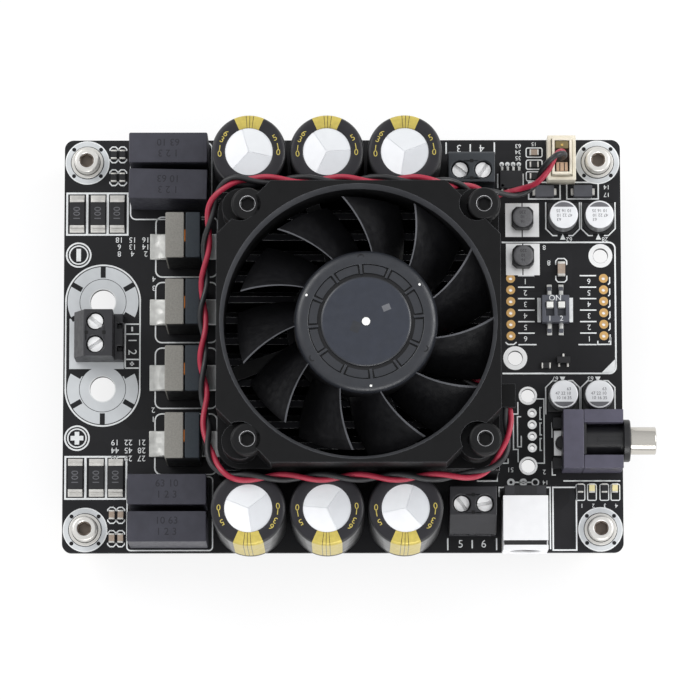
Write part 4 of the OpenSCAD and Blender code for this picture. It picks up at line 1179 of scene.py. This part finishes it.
def smooth_route(points, steps):
    """Points on a smooth curve through the route."""
    pts = [Vector(p) for p in points]
    line = []
    for i in range(len(pts) - 1):
        p0, p1, p2, p3 = pts[max(i - 1, 0)], pts[i], pts[i + 1], pts[min(i + 2, len(pts) - 1)]
        for k in range(steps):
            t = k / steps
            line.append(0.5 * (2 * p1 + (p2 - p0) * t + (2 * p0 - 5 * p1 + 4 * p2 - p3) * t * t
                               + (3 * p1 - p0 - 3 * p2 + p3) * t ** 3))
    return line + [pts[-1]]


def build_lead():
    """A red and a black wire, twisted loosely round each other along the route."""
    line = smooth_route([Vector(p) + Vector((0, 0, TOP)) for p in LEAD_ROUTE], ROUTE_STEPS)
    run, before = 0.0, line[0]
    wires = ([], [])
    for p, way, side in frames_along(line, (line[1] - line[0]).cross(Vector((0, 0, 1)))):
        run += (p - before).length
        before = p
        angle = TWIST_START + 2 * math.pi * run / TWIST
        out = (side * math.cos(angle) + way.cross(side) * math.sin(angle)) * WIRE_R
        wires[0].append(p + out)
        wires[1].append(p - out)
    shape = Shape()
    for paint, wire in enumerate(wires):
        shape.tube(wire, WIRE_R, paint)
    lead = piece("fan_wires", shape, [RED, BLACK_WIRE], "lead", stands_for=["fan_lead"])
    path = [p * MM for p in line]
    plug = build_plug()
    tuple(path[0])


PLUG_WALL = 0.55


def build_plug():
    """The ivory plug: an open top with the contacts' holders, and the wires between them."""
    node = "fan_plug"
    at, z0, z1 = middle(node), low(node).z, high(node).z
    half_x, half_y = ((high(node) - low(node)) / 2).xy
    inner_y = half_y - PLUG_WALL
    holder = half_x - PLUG_WALL - 0.15
    deep = z1 - 1.1
    shape = Shape()
    shape.box(span(at.x, half_x), span(at.y, half_y), (z0, z1 - 1.0), 0, 0.1)
    # The recess floor is dark brown: painted shade.
    shape.box(span(at.x, half_x - PLUG_WALL), span(at.y, inner_y), (deep, z1 - 0.95), 2)
    for t in (-1, 1):
        shape.box(beyond(at.x, t, half_x - PLUG_WALL, half_x), span(at.y, half_y), (deep, z1), 0, 0.12)
        shape.box(span(at.x, half_x - 0.1), beyond(at.y, t, inner_y, half_y), (deep, z1 - 0.02), 0, 0.12)
    shape.box(span(at.x, holder), beyond(at.y, 1, 1.75, inner_y - 0.1), (deep, z1 - 0.2), 3, 0.12)
    shape.box(span(at.x, holder - 0.2), beyond(at.y, -1, 1.35, inner_y - 0.1), (deep, z1 - 0.25), 4, 0.12)
    # Thin dark bars across the tan block: painted shade in its grooves.
    for x in span(at.x, 0.5):
        shape.box(span(x, 0.1), beyond(at.y, -1, 1.5, inner_y - 0.2), (z1 - 0.3, z1 - 0.22), 2)
    shape.box(span(at.x, 0.25), beyond(at.y, 1, 2.2, 2.7), (z1 - 0.3, z1 - 0.1), 1, 0.06)
    dress("fan_header", IVORY, 0.18)
    paints = [IVORY, BRASS, PLUG_RECESS_SHADE, OLIVE, TAN_PLASTIC]
    return piece("fan_plug_body", shape, paints, "ivory", stands_for=[node])


# Connectors and switch

JACK_L = 13
JACK_H = 10
JACK_HALF = 6.4
JACK_AXIS = 5.5
SOCKET_R = 3.4
SOCKET_START = 4.5


def build_jack():
    """The line input jack: violet-grey body, black socket with its flange, nickel barrel."""
    node = "jack_body"
    back, y = low(node).x, middle(node).y
    x0 = back + 2
    x1 = x0 + JACK_L
    socket = x0 + SOCKET_START
    axis, z1 = TOP + JACK_AXIS, TOP + JACK_H
    slot = SOCKET_R + 0.1
    shape = Shape()
    lengthwise = Matrix(((0, 0, 1, 0), (1, 0, 0, y), (0, 1, 0, 0), (0, 0, 0, 1)))
    shape.prism(rectangle(span(0, JACK_HALF), (TOP, z1)), x0, socket, 0, 0.25, lengthwise)
    trough = [(-JACK_HALF, TOP), (JACK_HALF, TOP), (JACK_HALF, z1), (slot, z1), (slot, axis)]
    trough += [(-slot, axis), (-slot, z1), (-JACK_HALF, z1)]
    shape.prism(trough, socket, x1, 0, 0.2, lengthwise)
    along = Matrix.Translation((0, y, axis)) @ Matrix.Rotation(math.radians(90), 4, "Y")
    profile = [(SOCKET_R, socket - 0.1), (SOCKET_R, x1 + 0.05), (4.4, x1 + 0.05), (4.6, x1 + 0.25),
               (4.6, x1 + 1.35), (4.4, x1 + 1.6), (3.05, x1 + 1.6), (3.05, x1 + 0.3), (1.8, x1 + 0.3),
               (1.8, socket - 0.1)]
    shape.lathe(profile, 64, 1, along, True)
    shape.box((socket - 0.05, socket + 0.5), span(y, SOCKET_R), (axis + 0.05, z1 - 0.3), 1, 0.1)
    rib_z = (axis + SOCKET_R - 0.2, axis + SOCKET_R + 0.12)
    shape.box((x0 + 7.5, x1 - 0.1), span(y, 0.45), rib_z, 1, 0.1)
    for side in span(y, 4.4):
        shape.box((back, x0 + 0.2), span(side, 1.1), (TOP, TOP + 3), 2, 0.2)
    shape.lathe([(1.55, TOP + 0.02), (1.55, TOP + 2.8), (1.4, TOP + 3.0)], 32, 1, standing((x0 + 0.2, y)))
    piece("jack_socket", shape, [JACK, BLACK, CHIP], "jack", stands_for=[node])
    dress("jack_barrel", NICKEL, 0.25, 3)


def build_supply_jack():
    """The supply jack with the ribs on its black back."""
    node = "dc_jack_body"
    dress(node, BLACK, 0.2)
    dress("dc_jack_shell", SHELL, 0.1)
    dress("dc_jack_pin", NICKEL, 0.2)
    back, z1, x = high(node).y, high(node).z, middle(node).x
    shape = Shape()
    for rib in span(x, 3.4):
        shape.box(span(rib, 1.0), (back - 2.0, back - 0.1), (z1 - 0.35, z1 + 0.03), 0, 0.08)
    shape.box(span(x, 1.4), (back - 1.9, back - 0.2), (z1 - 0.35, z1 + 0.02), 1, 0.08)
    piece("supply_jack_ribs", shape, [TERMINAL, CHIP], "black_plastic")


def build_switch():
    """The two-way switch: body with its wells, printed numbers, tinned legs."""
    node = "switch_body"
    at, z1 = middle(node), high(node).z
    dress(node, SWITCH, 0.14)
    marks, legs, sides = Shape(), Shape(), Shape()
    marks.words("ON", (at.x - 0.1, at.y + 2.25), 1.75, z1 - 0.01, z1 + 0.03)
    for k, x in enumerate(span(at.x, PIN_PITCH / 2), 1):
        dress(f"switch_slider_{k}", WHITE, 0.12)
        marks.words(str(k), (x, at.y - 2.25), 1.6, z1 - 0.01, z1 + 0.03)
        for s in (-1, 1):
            legs.box(span(x, 0.55), beyond(at.y, s, 3.0, 5.6), (TOP, TOP + 0.22), 0, 0.08)
            legs.box(span(x, 0.42), beyond(at.y, s, 2.9, 4.2), (TOP, TOP + 0.6), 0, 0.1)
    for s in (-1, 1):
        sides.box(beyond(at.x, s, 3.1, 3.9), span(at.y, 2.7), INK)
    piece("switch_marks", marks, [SILK], "white_plastic")
    piece("switch_legs", legs, [TIN], "bright_steel")
    piece("switch_print", sides, [SILK], "board")


# Small parts

def chip(shape, at, size, body, ends, along_y=True, end=0.32):
    """A chip part: a body between two tinned ends."""
    w, length, h = size
    half = length / 2

    def block(a, b, grow, top, paint, bevel):
        across = span(0, w / 2 + grow)
        x, y = (across, (a, b)) if along_y else ((a, b), across)
        shape.box(x, y, (TOP, TOP + top), paint, bevel, standing(at))

    block(-half + end, half - end, -0.01, h - 0.03, body, 0.04)
    block(-half, -half + end + 0.02, 0, h, ends, 0.08)
    block(half - end - 0.02, half, 0, h, ends, 0.08)


def build_sense_resistors():
    """Six flat resistors with printed plain numbers, and solder on their ends."""
    shape = Shape()
    z1 = high("sense_resistors").z
    for y in span(0, SHUNT_Y):
        for x in SHUNT_X:
            shape.box(span(x, 1.6), span(y, 2.5), (TOP, z1 - 0.02), 0, 0.06)
            for t in (-1, 1):
                shape.box(span(x, 1.58), beyond(y, t, 2.55, 3.15), (TOP, z1), 1, 0.1)
                shape.box(span(x, 1.5), beyond(y, t, 3.1, 3.6), (TOP, TOP + 0.3), 1, 0.1)
            shape.words("100", (x, y), 2.1, z1 - 0.03, z1, 90, 2)
    piece("flat_resistors", shape, [CHIP, LAND, CAN_INK], "small_parts", stands_for=["sense_resistors"])


CHIP_SIZE = (1.25, 2.0, 0.8)
LOW_CHIP_SIZE = (1.25, 2.0, 0.7)


def build_surface_parts():
    """The small chips, diodes and lamps, painted as chip (0), land (1), tan (2), diode (3) and lens (4)."""
    shape = Shape()
    for s, body in ((-1, 2), (1, 0)):
        for x in LEFT_CHIP_X:
            for y in LEFT_CHIP_Y:
                chip(shape, (x, s * y), CHIP_SIZE, body, 1)
    for y, body in zip(CHIP_COLUMN_Y, (2, 0, 0)):
        chip(shape, (CHIP_COLUMN_X, y), LOW_CHIP_SIZE, body, 1, False)
    chip(shape, (44.4, -4.6), LOW_CHIP_SIZE, 0, 1, False)
    for x, body in ((51.7, 0), (54.2, 4), (56.9, 0), (59.2, 4)):
        chip(shape, (x, -31.5), CHIP_SIZE, body, 1)
    for x in DIODE_X:
        shape.box(span(x, 2.05), span(DIODE_Y, 1.3), (TOP + 0.1, TOP + 2.0), 3, 0.18)
        for t in (-1, 1):
            shape.box(beyond(x, t, 1.6, 2.6), span(DIODE_Y, 0.75), (TOP, TOP + 0.9), 1, 0.1)
    chip(shape, (47.9, 16.7), (1.65, 3.2, 1.2), 2, 1, True, 0.5)
    shape.box((46.75, 49.65), (-4.1, -2.7), (TOP + 0.1, TOP + 1.1), 0, 0.1)
    for x, y in ((47.25, -4.4), (49.15, -4.4), (48.2, -2.4)):
        shape.box(span(x, 0.22), span(y, 0.45), (TOP, TOP + 0.3), 1, 0.06)
    paints = [CHIP, LAND, TAN, DIODE, LAMP_LENS]
    piece("small_chips", shape, paints, "small_parts", stands_for=["surface_parts"])


SMALL_CANS = (((48.3, 27.9), 1), ((56.1, 27.9), 1), ((48.0, -11.6), -1), ((55.7, -11.6), -1))
SMALL_CAN_R = 3.15
SMALL_CAN_BASE = [(-3.3, -2.0), (-2.0, -3.3), (2.0, -3.3), (3.3, -2.0), (3.3, 3.3), (-3.3, 3.3)]
SMALL_CAN_ROWS = (("10 16 35", 0.0, 0.85), ("47 22 10", 0.15, -0.15), ("63", -1.1, -1.1))


def build_small_cans():
    """Four small can capacitors: notched base, rolled can, printed segment and plain numbers."""
    node = "small_capacitors"
    z1 = high(node).z
    ink_z = (z1 - 0.04, z1 - 0.005)
    r = SMALL_CAN_R
    profile = [(r - 0.3, TOP + 0.5), (r - 0.3, TOP + 1.3), (r, TOP + 1.6), (r, z1 - 0.45),
               (r - 0.12, z1 - 0.15), (r - 0.45, z1 - 0.03)]
    shape = Shape()
    for at, way in SMALL_CANS:
        base = [(at[0] + x, at[1] + y * way) for x, y in SMALL_CAN_BASE]
        shape.prism(base[::way], TOP, TOP + 0.9, 1, 0.1)
        # The can's side and bottom take the darker tone of the same aluminium: painted shade.
        shape.lathe(profile, 56, lambda band, angle: 3 if band < 4 else 0, standing(at))
        shape.prism(circle(at, r - 0.42, 20, 90 * way - 52, 104), *ink_z, 2)
        for text, x, y in SMALL_CAN_ROWS:
            shape.words(text, (at[0] + way * x, at[1] + way * y), 0.95, *ink_z, 90 + 90 * way, 2)
    piece("small_cans", shape, [CAN, BLACK, CAN_INK, CAN_SIDE_SHADE], "can", stands_for=[node])


def build_power_inductors():
    """Two small shielded inductors: a dark square foot and a round ferrite drum."""
    node = "power_inductors"
    z1 = high(node).z
    foot = [(2.35, -1.45), (2.35, 1.45), (1.45, 2.35), (-1.45, 2.35)]
    foot += [(-x, -y) for x, y in foot]
    shape = Shape()
    for at in POWER_INDUCTORS:
        shape.prism(foot, TOP, z1 - 0.5, 1, 0.15, standing(at))
        shape.lathe([(2.2, z1 - 0.7), (2.2, z1 - 0.12), (2.08, z1 - 0.02), (1.6, z1)], 48, 0, standing(at))
        for row, text in enumerate(("220", "10", "16")):
            shape.words(text, (at[0], at[1] + 1.1 - 1.05 * row), 0.95, z1 - 0.01, z1 + 0.005, 180, 1)
    piece("drum_inductors", shape, [DRUM, CHIP], "ferrite", stands_for=[node])


def build_driver():
    """The eight-legged driver chip."""
    node = "driver_chip"
    at, z1 = middle(node), high(node).z
    shape = Shape()
    shape.box(*around(at, 4.9, 3.9), (TOP + 0.15, z1), 0, 0.14)
    shape.lathe([(0.3, z1 - 0.02), (0.3, z1)], 16, 2, standing((at.x - 1.9, at.y - 1.4)))
    for s in (-1, 1):
        for i in range(4):
            leg = span(at.x + PIN_PITCH / 2 * (i - 1.5), 0.21)
            shape.box(leg, beyond(at.y, s, 1.9, 2.45), (TOP + 0.35, TOP + 0.6), 1, 0.06)
            shape.box(leg, beyond(at.y, s, 2.3, 2.95), (TOP, TOP + 0.45), 1, 0.06)
    piece("driver", shape, [CHIP, TIN, DIODE], "chip", stands_for=[node])


def hexagon(angle, flats):
    """The distance from a hexagon's middle to its side, at an angle in degrees."""
    return flats / 2 / math.cos(math.radians((angle + 30) % 60 - 30))


SCREW_STEPS = 60
SOCKET_FLATS = 2.5
SHANK_R = 1.5


def socket_screw(shape, at, head, z0, z1, z_low, rounding, rim):
    """A cap screw: shank, head with a round shoulder, a painted highlight ring on the socket's edge (1) and
    the hexagon socket (2), which takes a painted shade where it is given a darker finish.
    """
    angles = [360 * k / SCREW_STEPS for k in range(SCREW_STEPS)]
    edge = hexagon(30, SOCKET_FLATS) + 0.15
    profile = [(SHANK_R - 0.2, z_low), (SHANK_R, z_low + 0.2), (SHANK_R, z0), (head - 0.1, z0)]
    profile.append((head, z0 + 0.12))
    profile += [polar((head - rounding, z1 - rounding), rounding, 22.5 * k) for k in range(5)]
    profile += [(edge + rim, z1), (edge, z1 - 0.08)]
    rows = [[(*polar(at, r, a), z) for a in angles] for r, z in profile]
    rows += [[(*polar(at, hexagon(a, SOCKET_FLATS), a), z1 - deep) for a in angles] for deep in (0.25, 1.5)]
    last = len(rows) - 1
    shape.skin(rows, lambda row, k: 2 if row >= last - 2 else 1 if row == last - 3 else 0)


def build_fixings():
    """Brass standoffs, and a cap screw with its washer at each corner of the board and of the fan."""
    dress("standoffs", BRASS, 0.2)
    dress("mounting_washers", STEEL, 0.12)
    board_screws, fan_screws, gaps_and_shadows = Shape(), Shape(), Shape()
    seat = high("mounting_washers").z
    top, tip = high("mounting_screws").z, low("mounting_screws").z
    for at in HOLES:
        # A dark ring round the foot of the head, on the washer: painted shadow.
        gaps_and_shadows.ring(at, 2.7, 2.88, seat - 0.02, seat + 0.01, steps=56)
        socket_screw(board_screws, at, 2.75, seat, top, tip, 0.55, 0.1)
    top, tip = high("fan_screws").z, low("fan_screws").z
    for sx, sy in CORNERS:
        at = (FAN.x + sx * FAN_HOLE, FAN.y + sy * FAN_HOLE)
        socket_screw(fan_screws, at, FAN_HEAD_R, top - FAN_HEAD_H, top, tip, 0.7, 0.09)
    piece("screw_shadow_rings", gaps_and_shadows, [PAINTED_SHADE], "black_steel")
    # Board screws: the near white ring on the socket's edge is a painted highlight, and the dark brown socket
    # is a painted shade.
    paints = [STEEL, BARE_TIN, SOCKET_SHADE]
    piece("board_screws", board_screws, paints, "bright_steel", stands_for=["mounting_screws"])
    # Fan screws: the pale ring on the socket's edge is a painted highlight.
    paints = [BLACK_STEEL, SOCKET_EDGE_HIGHLIGHT, BLACK_STEEL]
    piece("fan_cap_screws", fan_screws, paints, "black_steel", stands_for=["fan_screws"])


build_board()
build_fixings()
build_fan()
build_lead()
for number in range(1, 7):
    build_bulk_capacitor(number)
for number in range(1, 5):
    build_film_capacitor(number)
build_inductors()
build_terminals()
build_jack()
build_supply_jack()
build_switch()
build_sense_resistors()
build_surface_parts()
build_small_cans()
build_power_inductors()
build_driver()


# Studio: floor, lights and camera

FLOOR_GLOW = 0.8
FLOOR_HALF = 3.0


def whiten(finish):
    """Lets the camera, and what mirrors or bends light, see the floor part-way to plain white."""
    path = finish.new("LightPath").outputs
    seen = path["Is Camera Ray"]
    for kind in ("Is Glossy Ray", "Is Transmission Ray"):
        either = finish.new("Math", {0: seen, 1: path[kind]})
        either.operation = "MAXIMUM"
        seen = either.outputs["Value"]
    share = finish.new("Math", {0: seen, 1: FLOOR_GLOW})
    share.operation = "MULTIPLY"
    glow = finish.new("Emission", {"Strength": 1.0})
    mix = finish.new("MixShader", {"Fac": share.outputs["Value"], 1: finish.shader.outputs["BSDF"],
                                   2: glow.outputs["Emission"]})
    finish.feed(finish.nodes["Material Output"], {"Surface": mix.outputs["Shader"]})


def build_floor():
    side = span(0, FLOOR_HALF)
    mesh = bpy.data.meshes.new("floor")
    mesh.from_pydata([(*corner, 0) for corner in rectangle(side, side)], [], [(0, 1, 2, 3)])
    finish = Finish("floor", tone(246, 246, 247), 0.9, specular=0.1).mottle(60, 0.01).grain(2.0, 0.01)
    whiten(finish)
    mesh.materials.append(finish.material)
    floor = bpy.data.objects.new("floor", mesh)
    bpy.context.scene.collection.objects.link(floor)


LAMP_AIM = Vector((0, 0, 0.02))


def soft_light(name, place, size, power):
    light = bpy.data.lights.new(name, "AREA")
    light.shape = "RECTANGLE"
    light.size, light.size_y = size
    light.energy = power
    lamp = bpy.data.objects.new(name, light)
    lamp.location = place
    lamp.rotation_euler = (LAMP_AIM - Vector(place)).to_track_quat("-Z", "Y").to_euler()
    lamp.visible_camera = False
    bpy.context.scene.collection.objects.link(lamp)


TENT_COLOUR = (0.97, 0.98, 1.0, 1.0)
SIDE_LEVEL = 0.6
CEILING_LEVEL = 0.85


def build_light():
    """A light tent: pale sides, a brighter ceiling over the camera, and three soft lamps."""
    world = bpy.data.worlds.new("studio")
    bpy.context.scene.world = world
    tree = Tree(world)
    split = tree.new("SeparateXYZ", {"Vector": tree.new("TexCoord").outputs["Generated"]})
    level = tree.new("MapRange", {"Value": split.outputs["Z"], "To Min": SIDE_LEVEL, "To Max": CEILING_LEVEL})
    tree.feed(tree.nodes["Background"], {"Color": TENT_COLOUR, "Strength": level.outputs["Result"]})
    soft_light("key", (-0.9, 0.65, 0.85), (0.9, 0.7), 9)
    soft_light("fill", (0.95, 0.25, 0.65), (0.8, 0.5), 8)
    soft_light("front", (0.2, -1.0, 0.6), (1.0, 0.4), 6)


TARGET = Vector((1.615, -1.07, TOP)) * MM
CAMERA_DISTANCE = 0.997
CAMERA_TILT = math.radians(8.01)
CAMERA_ROLL = math.radians(-0.07)
LENS = 234.7


def build_camera():
    data = bpy.data.cameras.new("camera")
    data.sensor_width = 36.0
    data.lens = LENS
    data.clip_start = 0.01
    camera = bpy.data.objects.new("camera", data)
    turn = Matrix.Rotation(CAMERA_TILT, 4, "X") @ Matrix.Rotation(CAMERA_ROLL, 4, "Z")
    camera.matrix_world = Matrix.Translation(TARGET) @ turn @ Matrix.Translation((0, 0, CAMERA_DISTANCE))
    bpy.context.scene.collection.objects.link(camera)
    bpy.context.scene.camera = camera


build_floor()
build_light()
build_camera()
bpy.context.scene.view_settings.view_transform = "Standard"
